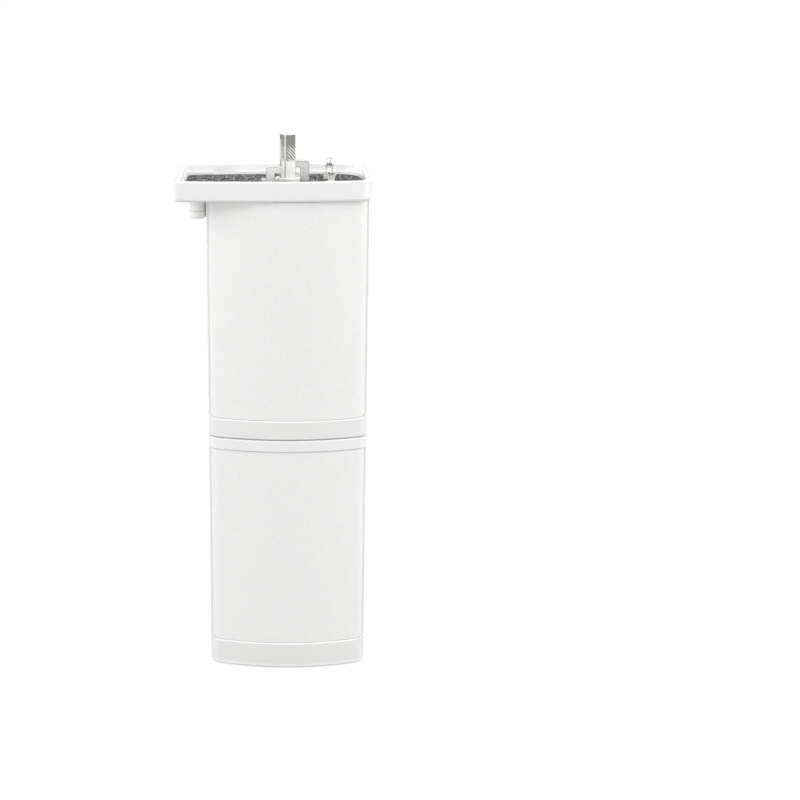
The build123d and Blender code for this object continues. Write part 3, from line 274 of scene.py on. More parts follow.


# painted shade: a darker tone along rounded edges, standing in for their dark reflections
def with_painted_edge_shade(tree, skin, tone, width, share):
    edge = place_group(
        tree, painted_edge_shade, Coordinates=object_coordinates(tree), Width=width,
        Breaks_per_metre=breaks_per_metre,
    )
    return mixed(tree, calc(tree, "MULTIPLY", edge["Mask"], share), skin, tone)


print("group", painted_edge_shade.name, "with", len(painted_edge_shade.nodes), "nodes")

# %% [markdown]
# ## Moulded and sheet finishes
# One function makes every plastic, rubber and painted finish from a colour and a few settings of the
# grain: its bumps per metre, how far the tone drifts, how dark a speck is, and how deep a bump looks.
# Numbers that are the same all over the surface go straight onto the shader's own sockets.

# %% Grained finishes
def grained(
    name, colour, rough=(0.42, 0.55), grain=2200.0, drift=0.03, speck=0.02, depth=0.15, metallic=0.0,
    shine=0.5,
):
    material, tree, shader = new_material(name)
    effect = place_group(
        tree, satin_grain, Coordinates=object_coordinates(tree), Colour=(*colour, 1.0),
        Grain_per_metre=grain, Drift=drift, Speck=speck, Depth=depth, Rough_low=rough[0],
        Rough_high=rough[1],
    )
    feed(
        tree, shader, Base_Color=effect["Colour"], Roughness=effect["Roughness"], Normal=effect["Normal"],
        Metallic=metallic, Specular_IOR_Level=shine,
    )
    return material


white_shell = grained("White moulded shell", (0.775, 0.775, 0.77), rough=(0.38, 0.5))
# painted light: the tray's inner walls are painted whiter than the rest of the head
tray_painted_white = grained(
    "Tray white, painted light", (0.985, 0.985, 0.98), rough=(0.3, 0.4), drift=0.015, speck=0.01, shine=1.0
)
# painted light: the sleeve is painted lighter, lifting the shade under the overhang
sleeve_painted_white = grained("Sleeve white, painted light", (0.87, 0.87, 0.862), rough=(0.34, 0.45), drift=0.02)
white_panel = grained(
    "White satin panel", (0.795, 0.795, 0.788), rough=(0.45, 0.6), grain=1300.0, speck=0.045
)
# the collar's nylon; on the plunger's knob this paler colour is also painted light that lifts the shade
# under the overhang
nylon_and_painted_light = grained("Natural nylon", (0.90, 0.90, 0.88), rough=(0.25, 0.35), drift=0.02)
key_white = grained("Satin key", (0.72, 0.72, 0.73), rough=(0.3, 0.4))
milky_lens = grained("Milky light pipe", (0.75, 0.8, 0.82), rough=(0.15, 0.22), depth=0.05)
acetal = grained("Acetal gear", (0.74, 0.73, 0.67), rough=(0.3, 0.42))
case_black = grained(
    "Glass-filled moulding", (0.03, 0.03, 0.032), rough=(0.45, 0.65), grain=1400.0, depth=0.3
)
soft_rubber = grained("Moulded rubber", (0.015, 0.015, 0.015), rough=(0.6, 0.8), grain=900.0, depth=0.3)
pale_rubber = grained("Pale sealing rubber", (0.42, 0.42, 0.42), rough=(0.6, 0.75), grain=900.0, depth=0.2)
board_green = grained("Lacquered board", (0.012, 0.10, 0.045), rough=(0.2, 0.32), grain=600.0, drift=0.2)
chip_black = grained("Chip package", (0.025, 0.025, 0.027), rough=(0.35, 0.5), grain=3000.0)
cell_blue = grained("Cell sleeve", (0.03, 0.12, 0.35), rough=(0.15, 0.25), grain=500.0, drift=0.1)
ferrite = grained("Sintered ferrite", (0.05, 0.05, 0.052), rough=(0.5, 0.75), grain=1600.0, depth=0.4)
copper = grained("Enamelled copper", (0.50, 0.20, 0.08), rough=(0.2, 0.35), grain=900.0, metallic=1.0)
bronze = grained(
    "Sintered bronze", (0.42, 0.27, 0.12), rough=(0.4, 0.6), grain=1800.0, metallic=1.0, depth=0.4
)
print("grained finishes:", len(bpy.data.materials))

# %% [markdown]
# ## The tubes' white, with painted light at the foot
# The two tubes of the body are eroded like the head but a shade greyer. Their lowest few millimetres are
# painted whiter, painted light standing in for light from below, so this finish mixes its colour by the
# height above the base.

# %% White of the tubes
# painted light: the tube is painted whiter over its lowest few millimetres
foot_light_from = 0.5 * millimetre
foot_light_full = 2.8 * millimetre
foot_painted_white = (0.96, 0.96, 0.955, 1)


def with_painted_foot_light(material):
    tree = material.node_tree
    colour = tree.nodes["Principled BSDF"].inputs["Base Color"]
    eroded = colour.links[0].from_socket
    height = axes(tree, object_coordinates(tree))["Z"]
    painted_light = spread(tree, height, foot_light_from, foot_light_full, 1.0, 0.0)
    link(tree, mixed(tree, painted_light, eroded, foot_painted_white), colour)
    return material


body_white = with_painted_foot_light(grained("White eroded tube", (0.74, 0.74, 0.733)))
print(body_white.name, "rubbed up to", in_millimetres([foot_light_full])[0], "mm")

# %% [markdown]
# ## A shared group: drawn lines
# A drawn bar has fine lines along its length, and a turned pin has them around it. Both come from noise
# that is stretched in one direction by a Mapping node. The lines change the tone, the roughness and the
# tilt of the surface a little.

# %% Drawn line group
line_detail = 5.0
line_tone = 0.85
line_height = 0.05 * millimetre

drawn_lines, given, made = new_tree(
    "Drawn lines", "ShaderNodeTree",
    [*sockets(vector, "Coordinates", "Stretch"), *sockets(colour_socket, "Colour"),
     *sockets(number, "Rough low", "Rough high", "Depth")],
    looks,
)
stretched = mapped(drawn_lines, given["Coordinates"], "Scale", given["Stretch"])
lines = noise(drawn_lines, stretched, 1.0, line_detail)
line_shade = spread(drawn_lines, lines, noise_low, noise_high, line_tone, 1.0)
line_rough = spread(drawn_lines, lines, noise_low, noise_high, given["Rough low"], given["Rough high"])
link(drawn_lines, darkened(drawn_lines, given["Colour"], line_shade), made["Colour"])
link(drawn_lines, line_rough, made["Roughness"])
link(drawn_lines, bump(drawn_lines, lines, given["Depth"], line_height), made["Normal"])
print("group", drawn_lines.name, "with", len(drawn_lines.nodes), "nodes")

# %% [markdown]
# ## Metal finishes
# Steel, brass and nickel differ only in colour, in the direction of their lines and in how bright they
# are. Fully metallic shaders take all their look from what they reflect, as the real pieces do.

# %% Lined metals
lines_along = (900.0, 900.0, 25.0)
lines_around = (60.0, 60.0, 2600.0)
cut_lines = (400.0, 400.0, 900.0)
sheet_lines = (300.0, 300.0, 40.0)
strip_lines = (400.0, 60.0, 400.0)
no_lines = (300.0, 300.0, 300.0)


def lined(tree, colour, rough, stretch, depth=0.2):
    return place_group(
        tree, drawn_lines, Coordinates=object_coordinates(tree), Stretch=stretch, Colour=(*colour, 1.0),
        Rough_low=rough[0], Rough_high=rough[1], Depth=depth,
    )


def lined_metal(name, colour, rough, stretch):
    material, tree, shader = new_material(name)
    effect = lined(tree, colour, rough, stretch)
    feed(
        tree, shader, Base_Color=effect["Colour"], Roughness=effect["Roughness"], Normal=effect["Normal"],
        Metallic=1.0,
    )
    return material


drawn_steel = lined_metal("Drawn steel", (0.55, 0.54, 0.52), (0.18, 0.38), lines_along)
turned_steel = lined_metal("Turned bright steel", (0.66, 0.65, 0.63), (0.08, 0.2), lines_around)
gear_steel = lined_metal("Cut gear steel", (0.42, 0.42, 0.43), (0.25, 0.4), cut_lines)
dark_steel = lined_metal("Blackened steel", (0.10, 0.10, 0.105), (0.3, 0.5), no_lines)
core_steel = lined_metal("Core sheet steel", (0.35, 0.35, 0.36), (0.3, 0.5), sheet_lines)
stamped_brass = lined_metal("Stamped brass", (0.62, 0.45, 0.18), (0.2, 0.35), no_lines)
nickel = lined_metal("Nickel strip", (0.55, 0.53, 0.48), (0.25, 0.4), strip_lines)
print("finishes so far:", len(bpy.data.materials))

# %% [markdown]
# ## The hooks' die casting
# The catch plate and its two hooks are cast in a zinc alloy and tumbled, which leaves a pale, speckled
# skin. Every rounded edge gets a darker painted line, a painted reflection of dark surroundings. A plain
# grey metal looks like sheet steel, so the speckle and the edge both get a tone of their own.

# %% Tumbled casting
cast_pale = (0.86, 0.86, 0.85, 1)
cast_dark = (0.66, 0.66, 0.65, 1)
# painted reflection: a dark line painted along every rounded edge
cast_painted_edge = (0.20, 0.20, 0.195, 1)
cast_painted_edge_width = 0.6 * millimetre
cast_painted_edge_share = 0.9
blotches_per_metre = 1500.0
blotch_low = 0.4
blotch_high = 0.65
cast_smooth = 0.35
cast_rough = 0.55
cast_bump = 0.3
cast_metallic = 0.6


def tumbled_casting():
    material, tree, shader = new_material("Tumbled die casting")
    speckle = noise(tree, object_coordinates(tree), blotches_per_metre)
    blotch = spread(tree, speckle, blotch_low, blotch_high)
    skin = mixed(tree, blotch, cast_pale, cast_dark)
    feed(
        tree, shader, Base_Color=with_painted_edge_shade(tree, skin, cast_painted_edge, cast_painted_edge_width, cast_painted_edge_share),
        Roughness=spread(tree, blotch, 0.0, 1.0, cast_smooth, cast_rough),
        Normal=bump(tree, blotch, cast_bump, grain_height), Metallic=cast_metallic,
    )
    return material


die_cast = tumbled_casting()
print(die_cast.name, "ready")

# %% [markdown]
# ## The drive shaft
# The square shaft is a ground bar, and much of its colour is painted reflection. Its end, which takes the
# rail's socket, is painted dark and dull, and below that the slanting marks of the grinding wheel show.
# Towards the collar it is painted bright. Its long edges get painted highlights near the end and painted
# dark lines below, one face gets a painted highlight over half its width, a darker brown band runs beside
# the nearest edge, and the faced end is painted near white, a painted highlight. The height along the shaft
# decides which zone a point is in, and turning the coordinates to the square's own axes finds its edges.

# %% Zones of the shaft
shaft_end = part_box("output_shaft")[1].z
shaft_turn = radians(26)
bright_below = shaft_end - 11.2 * millimetre
marked_above = shaft_end - 10.0 * millimetre
marks_fade_from = shaft_end - 6.2 * millimetre
dull_above = shaft_end - 4.0 * millimetre
cap_from = shaft_end - 2.8 * millimetre
cap_full = shaft_end - 2.0 * millimetre
end_from = shaft_end - 0.45 * millimetre
end_full = shaft_end - 0.25 * millimetre
edge_from = 2.08 * millimetre
edge_full = 2.28 * millimetre
highlight_from = 0.2 * millimetre
highlight_full = 1.2 * millimetre
side_dark_full = -1.8 * millimetre
side_dark_end = -1.0 * millimetre
print("the shaft is bright below", in_millimetres([shaft_end - bright_below])[0], "mm from its end")

# %% [markdown]
# The Wave texture draws the slanting marks. Each zone's tone is then mixed over the one before it: the
# marks with their painted shade, the brown band, the bar's painted reflection, the edges' painted
# highlights and shade, and the end's painted highlight last.

# %% Shaft with painted reflections
marks_slant = radians(42)
mark_waves = {"Scale": 340.0, "Distortion": 2.6, "Detail": 3.0, "Detail Scale": 2.0}
marks_left = 0.2
highlight_share = 0.8
side_dark_share = 0.7
# painted shade: the marked zone near the end is painted dark, standing in for dark reflections
marks_painted_dark = (0.18, 0.176, 0.165, 1)
mark_pale = (0.74, 0.73, 0.71, 1)
# a darker brown band beside the nearest edge of the front face
side_brown = (0.30, 0.27, 0.22, 1)
# painted highlights and painted shade along the long edges
edge_painted_dark = (0.28, 0.275, 0.26, 1)
edge_painted_pale = (0.74, 0.73, 0.70, 1)
# painted highlight: the end face is painted near white
end_painted_white = (1.0, 0.99, 0.98, 1)
# painted reflection: the bar below the marks is painted near white
bar_painted_white = (0.97, 0.965, 0.95)
bar_rough = (0.25, 0.4)
bar_lines = (900.0, 900.0, 60.0)
bar_metallic = 0.3
marked_metallic = 0.6


def shaft_with_painted_light():
    material, tree, shader = new_material("Drive shaft with painted reflections")
    coordinates = object_coordinates(tree)
    square = axes(tree, mapped(tree, coordinates, "Rotation", (0, 0, -shaft_turn)))
    marked = spread(tree, square["Z"], bright_below, marked_above)
    dull = spread(tree, square["Z"], marks_fade_from, dull_above, 1.0, marks_left)
    near = [spread(tree, calc(tree, "ABSOLUTE", square[axis]), edge_from, edge_full) for axis in "XY"]
    left_face = calc(tree, "LESS_THAN", square["X"], -edge_full)
    below_cap = spread(tree, square["Z"], cap_from, cap_full, highlight_share, 0.0)
    # painted highlight over half the width of one face
    face_highlight = calc(tree, "MULTIPLY", spread(tree, square["Y"], highlight_from, highlight_full), below_cap)
    edge_and_face_highlight = calc(tree, "MAXIMUM", calc(tree, "MULTIPLY", *near), calc(tree, "MULTIPLY", left_face, face_highlight))
    front_face = calc(tree, "LESS_THAN", square["Y"], -edge_full)
    beside_edge = spread(tree, square["X"], side_dark_full, side_dark_end, side_dark_share, 0.0)
    marks = add_node(tree, "ShaderNodeTexWave", mark_waves, bands_direction="X")
    feed(tree, marks, Vector=mapped(tree, coordinates, "Rotation", (0, marks_slant, 0)))
    hatch_and_shade = mixed(tree, calc(tree, "MULTIPLY", marks.outputs["Fac"], dull), marks_painted_dark, mark_pale)
    side_darkened = mixed(tree, calc(tree, "MULTIPLY", front_face, beside_edge), hatch_and_shade, side_brown)
    bright = lined(tree, bar_painted_white, bar_rough, bar_lines)
    bar = mixed(tree, marked, bright["Colour"], side_darkened)
    painted_light = mixed(tree, edge_and_face_highlight, bar, mixed(tree, marked, edge_painted_dark, edge_painted_pale))
    end_highlighted = mixed(tree, spread(tree, square["Z"], end_from, end_full), painted_light, end_painted_white)
    metallic = spread(tree, marked, 0.0, 1.0, bar_metallic, marked_metallic)
    feed(tree, shader, Base_Color=end_highlighted, Roughness=bright["Roughness"], Metallic=metallic)
    return material


shaft_painted_metal = shaft_with_painted_light()
print(shaft_painted_metal.name, "with", len(shaft_painted_metal.node_tree.nodes), "nodes")

# %% [markdown]
# ## The locating studs
# The two slotted studs are turned and nickel plated, the brightest metal on the part. Lines run round
# them, and every rim has a thin painted dark line, a painted reflection of dark surroundings. The head is
# polished and the shank stays matt, so the height along the stud blends the two.

# %% Plated studs
stud_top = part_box("locating_pins")[1].z
head_from = stud_top - 3.6 * millimetre
head_full = stud_top - 3.0 * millimetre
plate_tone = (0.84, 0.83, 0.81)
plate_rough = (0.08, 0.2)
plate_depth = 0.15
# painted reflection: a thin dark line painted along every rim
rim_painted_dark = (0.06, 0.06, 0.057, 1)
rim_width = 0.4 * millimetre
rim_painted_share = 0.8
shank_matt = 0.25
shank_metallic = 0.05
head_metallic = 0.9


def plated_stud():
    material, tree, shader = new_material("Plated stud")
    effect = lined(tree, plate_tone, plate_rough, lines_around, plate_depth)
    polished = spread(tree, axes(tree, object_coordinates(tree))["Z"], head_from, head_full)
    matt = spread(tree, polished, 0.0, 1.0, shank_matt, 0.0)
    feed(
        tree, shader, Base_Color=with_painted_edge_shade(tree, effect["Colour"], rim_painted_dark, rim_width, rim_painted_share),
        Roughness=calc(tree, "ADD", effect["Roughness"], matt), Normal=effect["Normal"],
        Metallic=spread(tree, polished, 0.0, 1.0, shank_metallic, head_metallic),
    )
    return material


stud_metal = plated_stud()
print(stud_metal.name, "ready")

# %% [markdown]
# ## Foam
# The dark sheet in the tray is closed-cell foam: charcoal, with pale specks where the cut opened a cell.
# Voronoi cells give each speck its own place, and a second, coarser noise keeps them from looking regular.

# %% Foam finish
foam_cells_per_metre = 1200.0
patches_per_metre = 700.0
patch_detail = 4.0
foam_speck_low = 0.12
foam_speck_high = 0.5
foam_bump = 0.6
foam_height = 0.3 * millimetre
foam_smooth = 0.75
foam_rough = 0.95
foam_shine = 0.2


def speckled_foam(name, dark, pale):
    material, tree, shader = new_material(name)
    coordinates = object_coordinates(tree)
    pattern = {"Vector": coordinates, "Scale": foam_cells_per_metre}
    cells = add_node(tree, "ShaderNodeTexVoronoi", pattern).outputs
    patches = noise(tree, coordinates, patches_per_metre, patch_detail)
    speck = spread(tree, calc(tree, "MULTIPLY", cells["Color"], patches), foam_speck_low, foam_speck_high)
    feed(
        tree, shader, Base_Color=mixed(tree, speck, (dark, dark, dark, 1), (pale, pale, pale, 1)),
        Normal=bump(tree, cells["Distance"], foam_bump, foam_height),
        Roughness=spread(tree, patches, noise_low, noise_high, foam_smooth, foam_rough),
        Specular_IOR_Level=foam_shine,
    )
    return material


foam_dark = speckled_foam("Speckled foam", dark=0.025, pale=0.22)
foam_pale = speckled_foam("Opened foam cell", dark=0.05, pale=0.85)
print("foam ready")

# %% [markdown]
# ## Which finish each piece wears
# A dictionary from finish to pieces reads like a bill of materials, and a check prints any piece that was
# forgotten. A finish goes into the material slot of a CAD node's object, and the node's mesh stays as it
# is.

# %% Finish of every CAD node
finishes = {
    white_shell: ["head_housing", "pack_lid"],
    body_white: ["upper_housing", "lower_housing", "base_plate"],
    white_panel: ["upper_front_panel", "upper_rear_panel", "lower_front_panel", "lower_rear_panel"],
    foam_dark: ["head_gasket"],
    die_cast: ["catch_plate", "gearbox_base_plate"],
    stud_metal: ["locating_pins"],
    turned_steel: ["plunger_pin", "plunger_guide", "rotor_shaft"],
    shaft_painted_metal: ["output_shaft"],
    drawn_steel: ["plunger_spring", "gearbox_bolts", "motor_can", "stage_two_carrier", "charge_port"],
    gear_steel: ["planet_two_a", "planet_two_b", "planet_two_c"],
    dark_steel: ["tray_screws", "pack_bolts"],
    # the knob's paler nylon is partly painted light, lifting the shade under the overhang
    nylon_and_painted_light: ["shaft_collar", "plunger_knob"],
    bronze: ["output_bearing", "motor_bushes"],
    case_black: [
        "gearbox_cover", "ring_gear", "motor_end_cap", "end_frame", "contact_block",
        "cell_holder_base", "cell_holder_top",
    ],
    stamped_brass: ["pinion", "brush_terminals", "contact_pins"],
    acetal: ["stage_one_carrier", "planet_one_a", "planet_one_b", "planet_one_c"],
    ferrite: ["motor_magnets", "encoder_magnet"],
    core_steel: ["armature_core"],
    copper: ["armature_windings", "commutator"],
    soft_rubber: ["damper_rings"],
    pale_rubber: ["seam_seal"],
    board_green: ["encoder_board", "main_board", "charge_board"],
    chip_black: ["board_parts"],
    cell_blue: ["battery_cells"],
    nickel: ["cell_strips"],
    key_white: ["setting_button"],
    milky_lens: ["status_lens"],
}
finish_of = {node: material for material, nodes in finishes.items() for node in nodes}
for name, piece in frame["nodes"].items():
    for material_slot in piece.material_slots:
        material_slot.link = "OBJECT"
        material_slot.material = finish_of[name]
print("finished:", len(finish_of), "missing:", sorted(set(frame["nodes"]) - set(finish_of)))

# %% [markdown]
# ## Smooth copies
# A CAD mesh is loose triangles, so each facet of a round wall shades by itself. A copy with its doubles
# merged can share normals across an edge. Edges sharper than a limit stay crisp, and weighted normals
# keep the broad faces flat right up to their rounded edges. The spring keeps its CAD node, and four kinds
# of piece are made with Geometry Nodes further on.

# %% Merged and smoothed copies
sharp_angle = radians(32)
merge_distance = 0.000002
face_weight = 60
body_of = {node: body for body, nodes in frame["record"]["behaviour"]["bodies"].items() for node in nodes}
panels = ["upper_front_panel", "lower_front_panel", "upper_rear_panel", "lower_rear_panel"]
not_copied = [*panels, "head_gasket", "armature_core", "armature_windings", "plunger_spring"]


def merged_mesh(node):
    shape = bmesh.new()
    shape.from_mesh(frame["nodes"][node].data)
    bmesh.ops.remove_doubles(shape, verts=shape.verts, dist=merge_distance)
    for face in shape.faces:
        face.smooth = True
        face.material_index = 0
    for edge in shape.edges:
        edge.smooth = len(edge.link_faces) == 2 and edge.calc_face_angle(0) < sharp_angle
    mesh = bpy.data.meshes.new("merged_" + node)
    shape.to_mesh(mesh)
    shape.free()
    return mesh


def stand_for(piece, node):
    weighting = piece.modifiers.new("Weighted normals", "WEIGHTED_NORMAL")
    weighting.keep_sharp = True
    weighting.weight = face_weight
    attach(piece, body_of[node])
    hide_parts(node)


def smooth_copy(node):
    mesh = merged_mesh(node)
    mesh.materials.append(finish_of[node])
    piece = into_scene("dressed_" + node, mesh)
    stand_for(piece, node)
    return piece


dressed = {node: smooth_copy(node) for node in frame["nodes"] if node not in not_copied}
print("smooth copies:", len(dressed))

# %% [markdown]
# ## The tray's inner walls and the sleeve
# The head is one moulding. The inside of the tray is polished, the plunger's sleeve is smooth, and the rest
# is eroded. So the faces inside the tray get a second finish, smoother and painted whiter, painted light
# that brightens the tray's walls: the ones above the tray's floor that look towards its middle. The sleeve
# is all that reaches below the head's foot, and gets a third one between the two, painted light that lifts
# the shade under the overhang.

# %% Finishes on the head
head_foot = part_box("upper_housing")[1].z
tray_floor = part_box("head_gasket")[0].z
head_low, head_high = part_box("head_housing")
tray_middle = (head_low + head_high) / 2
level = Vector((1, 1, 0))
inward_least = 0.001
tray_slot = 1
sleeve_slot = 2

head_mesh = dressed["head_housing"].data
head_mesh.materials.append(tray_painted_white)
head_mesh.materials.append(sleeve_painted_white)
for face in head_mesh.polygons:
    outward = (face.center - tray_middle) * level
    if face.center.z > tray_floor and face.normal.dot(outward) < -inward_least:
        face.material_index = tray_slot
    elif face.center.z < head_foot - merge_distance:
        face.material_index = sleeve_slot
slots_worn = [face.material_index for face in head_mesh.polygons]
print("faces: tray", slots_worn.count(tray_slot), "sleeve", slots_worn.count(sleeve_slot))

# %% [markdown]
# ## Geometry Nodes: the setup
# Pieces that follow a rule or repeat are easier to describe than to draw. A Geometry Nodes tree is that
# description, with named inputs for its sizes. One helper opens a tree, and a few add the steps that most
# trees take. The last gives a throwaway object the tree as a modifier, sets the inputs by their
# identifiers, reads the evaluated mesh and throws the object away, so that what stays is a plain mesh.

# %% Geometry Nodes helpers
geometry, finish_socket, whole = "NodeSocketGeometry", "NodeSocketMaterial", "NodeSocketInt"


def shape_tree(name, *inputs):
    shape = sockets(geometry, "Geometry")
    tree, given, made = new_tree(name, "GeometryNodeTree", [*shape, *inputs], shape)
    return tree, given, made["Geometry"]


def shaped(tree, kind, **terms):
    node = add_node(tree, "GeometryNode" + kind)
    feed(tree, node, **terms)
    return node.outputs[0]


def joined(tree, *shapes):
    node = add_node(tree, "GeometryNodeJoinGeometry")
    for shape in shapes:
        link(tree, shape, node.inputs["Geometry"])
    return node.outputs["Geometry"]


def levels(tree, count, first, step):
    start = point(tree, z=first)
    return shaped(tree, "MeshLine", Count=count, Start_Location=start, Offset=point(tree, z=step))


def finished_shape(tree, shape, material):
    real = shaped(tree, "RealizeInstances", Geometry=shape)
    return shaped(tree, "SetMaterial", Geometry=real, Material=material)


def shape_from_tree(name, tree, start=None, **values):
    holder = into_scene(name + "_holder", start or bpy.data.meshes.new(name + "_start"))
    modifier = holder.modifiers.new("Shape", "NODES")
    modifier.node_group = tree
    for socket in tree.interface.items_tree:
        key = socket.name.replace(" ", "_")
        if socket.in_out == "INPUT" and key in values:
            modifier[socket.identifier] = values[key]
    evaluated = holder.evaluated_get(bpy.context.evaluated_depsgraph_get())
    mesh = bpy.data.meshes.new_from_object(evaluated)
    mesh.name = name
    bpy.data.objects.remove(holder)
    print(name, "has", len(mesh.polygons), "faces")
    return into_scene(name, mesh)


print("Geometry Nodes helpers ready")

# %% [markdown]
# ## The crowned face panels
# The four long panels are the broadest surfaces of the object. Each is a sheet bent to a rule: walk along
# a wide bow, then round a small corner, at the same distance from the bow's and the corner's centres all
# the way. Its foot is straight and curls up where it meets the corners. A flat grid has the right points
# to start from. Its X becomes the distance walked, and its Y becomes the height between foot and top.

# %% Tree for a crowned panel
panel_tree, given, result = shape_tree(
    "Crowned panel",
    *sockets(number, "Bow radius", "Corner radius", "Corner X", "Corner Y", "Edge angle", "Foot", "Top"),
    *sockets(number, "Window half", "Foot bend", "Thickness", "Turn"),
    *sockets(whole, "Columns", "Rows"), *sockets(finish_socket, "Finish"),
)
bend = partial(calc, panel_tree)
lever = bend("SUBTRACT", given["Bow radius"], given["Corner radius"])
bow_end = bend("ARCSINE", bend("DIVIDE", given["Corner X"], lever))
bow_length = bend("MULTIPLY", given["Bow radius"], bow_end)
corner_turn = bend("SUBTRACT", given["Edge angle"], bow_end)
corner_length = bend("MULTIPLY", given["Corner radius"], corner_turn)
full_length = bend("MULTIPLY", bend("ADD", bow_length, corner_length), 2.0)
grid = shaped(
    panel_tree, "MeshGrid", Size_X=full_length, Size_Y=1.0, Vertices_X=given["Columns"],
    Vertices_Y=given["Rows"],
)
flat = axes(panel_tree, shaped(panel_tree, "InputPosition"))
print("start of", panel_tree.name, "with", len(panel_tree.nodes), "nodes")

# %% [markdown]
# The walk itself is four sums: how far along the bow, the angle reached there, the angle reached round the
# corner, and the point that both angles give.

# %% Walk along the bow and round the corner
walked = bend("ABSOLUTE", flat["X"])
on_bow = bend("MINIMUM", walked, bow_length)
bow_angle = bend("DIVIDE", on_bow, given["Bow radius"])
past_bow = bend("SUBTRACT", walked, on_bow)
corner_angle = bend("ADD", bow_angle, bend("DIVIDE", past_bow, given["Corner radius"]))
bow_sine = bend("MULTIPLY", lever, bend("SINE", bow_angle))
corner_sine = bend("MULTIPLY", given["Corner radius"], bend("SINE", corner_angle))
out_x = bend("ADD", bow_sine, corner_sine)
bow_cosine = bend("MULTIPLY", lever, bend("COSINE", bow_angle))
corner_cosine = bend("MULTIPLY", given["Corner radius"], bend("COSINE", corner_angle))
centre_rise = bend("MULTIPLY", lever, bend("COSINE", bow_end))
bow_centre = bend("ADD", given["Corner Y"], centre_rise)
panel_y = bend("SUBTRACT", bend("SUBTRACT", bow_centre, bow_cosine), corner_cosine)
panel_x = bend("MULTIPLY", out_x, bend("SIGN", flat["X"]))
print("face rule, up to", len(panel_tree.nodes), "nodes")

# %% [markdown]
# The foot is straight in the middle, and beside each end it follows a quarter circle upwards. Each column
# of the grid then spreads evenly between its own foot and the top.

# %% Foot and height
side_start = bend("SUBTRACT", given["Window half"], given["Foot bend"])
beside = bend("MAXIMUM", bend("SUBTRACT", out_x, side_start), 0.0)
bend_square = bend("MULTIPLY", given["Foot bend"], given["Foot bend"])
bend_drop = bend("SQRT", bend("SUBTRACT", bend_square, bend("MULTIPLY", beside, beside)))
panel_foot = bend("SUBTRACT", bend("ADD", given["Foot"], given["Foot bend"]), bend_drop)
climb = bend("SUBTRACT", given["Top"], panel_foot)
risen = bend("MULTIPLY", bend("ADD", flat["Y"], 0.5), climb)
panel_z = bend("ADD", panel_foot, risen)
print("foot rule, up to", len(panel_tree.nodes), "nodes")

# %% [markdown]
# Giving the sheet its thickness takes a second skin. Extruding the flipped skin inwards makes the back and
# the narrow sides, the first skin is the front, and merging closes the two into one solid.

# %% Thickness, turn and finish
bent_place = point(panel_tree, panel_x, panel_y, panel_z)
front = shaped(panel_tree, "SetPosition", Geometry=grid, Position=bent_place)
flipped = shaped(panel_tree, "FlipFaces", Mesh=front)
back = shaped(panel_tree, "ExtrudeMesh", Mesh=flipped, Offset_Scale=given["Thickness"], Individual=False)
both = joined(panel_tree, front, back)
closed = shaped(panel_tree, "MergeByDistance", Geometry=both, Distance=merge_distance)
turned = shaped(panel_tree, "Transform", Geometry=closed, Rotation=point(panel_tree, z=given["Turn"]))
smoothed = shaped(panel_tree, "SetShadeSmooth", Geometry=turned)
link(panel_tree, finished_shape(panel_tree, smoothed, given["Finish"]), result)
print("tree", panel_tree.name, "with", len(panel_tree.nodes), "nodes")

# %% [markdown]
# The numbers below repeat the drawing's: half the body's width, the bows and corners of its section, and
# how deep a panel is sunk. Foot and top are read from the CAD node that a panel stands for. A small bevel
# then rounds the sheet's rim, as a blanked sheet's is.

# %% Four panels
body_half = 32.0 * millimetre
body_reach = 27.3 * millimetre
section_corner = 5.0 * millimetre
panel_sink = 0.45 * millimetre
panel_gap = 0.12 * millimetre
panel_sheet = 0.8 * millimetre
panel_edge_back = 2.0 * millimetre
panel_rim = 0.12 * millimetre
rim_angle = radians(45)
front_bow = 87.0 * millimetre
rear_bow = 250.0 * millimetre
panel_columns = 161
panel_rows = 17


def panel_sizes(bow):
    corner_x = body_half - section_corner
    across = (bow - section_corner) ** 2 - corner_x**2
    rim_depth = panel_edge_back + panel_gap
    corner_inset = section_corner - panel_sink
    return {
        "Bow_radius": bow - panel_sink,
        "Corner_radius": corner_inset,
        "Corner_X": corner_x,
        "Corner_Y": bow - body_reach - across**0.5,
        "Edge_angle": atan2((corner_inset**2 - rim_depth**2) ** 0.5, rim_depth),
        "Window_half": body_half - panel_gap,
        "Foot_bend": body_half - corner_x * bow / (bow - section_corner),
        "Thickness": panel_sheet,
        "Columns": panel_columns,
        "Rows": panel_rows,
        "Finish": white_panel,
    }


for node in panels:
    low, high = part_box(node)
    bow, turn = (front_bow, 0.0) if "front" in node else (rear_bow, pi)
    piece = shape_from_tree(
        "crowned_" + node, panel_tree, Foot=low.z, Top=high.z, Turn=turn, **panel_sizes(bow)
    )
    rim = piece.modifiers.new("Rounded rim", "BEVEL")
    rim.width = panel_rim
    rim.segments = 2
    rim.limit_method = "ANGLE"
    rim.angle_limit = rim_angle
    reach = [max(abs(corner.co[axis]) for corner in piece.data.vertices) for axis in (0, 1)]
    cad_reach = [max(abs(low[axis]), abs(high[axis])) for axis in (0, 1)]
    print(node, "reach", in_millimetres(reach, 2), "CAD", in_millimetres(cad_reach, 2))
    stand_for(piece, node)

# %% [markdown]
# ## The foam's opened cells
# Cutting a foam sheet opens its cells, and each open cell is a small pale bump or cup. There are
# thousands, so they are scattered by nodes on the upward faces of the sheet. Poisson spacing keeps them
# from lying on each other, and fixed seeds give the same foam each time. Each one is a ball of twenty
# faces, pressed flat. Sockets 2 and 3 of the random value are the ends of a plain number.

# %% Tree for the foam
facing_up = 0.9
most_cells = 4.0e6
smallest_cell = 0.5
largest_cell = 1.3

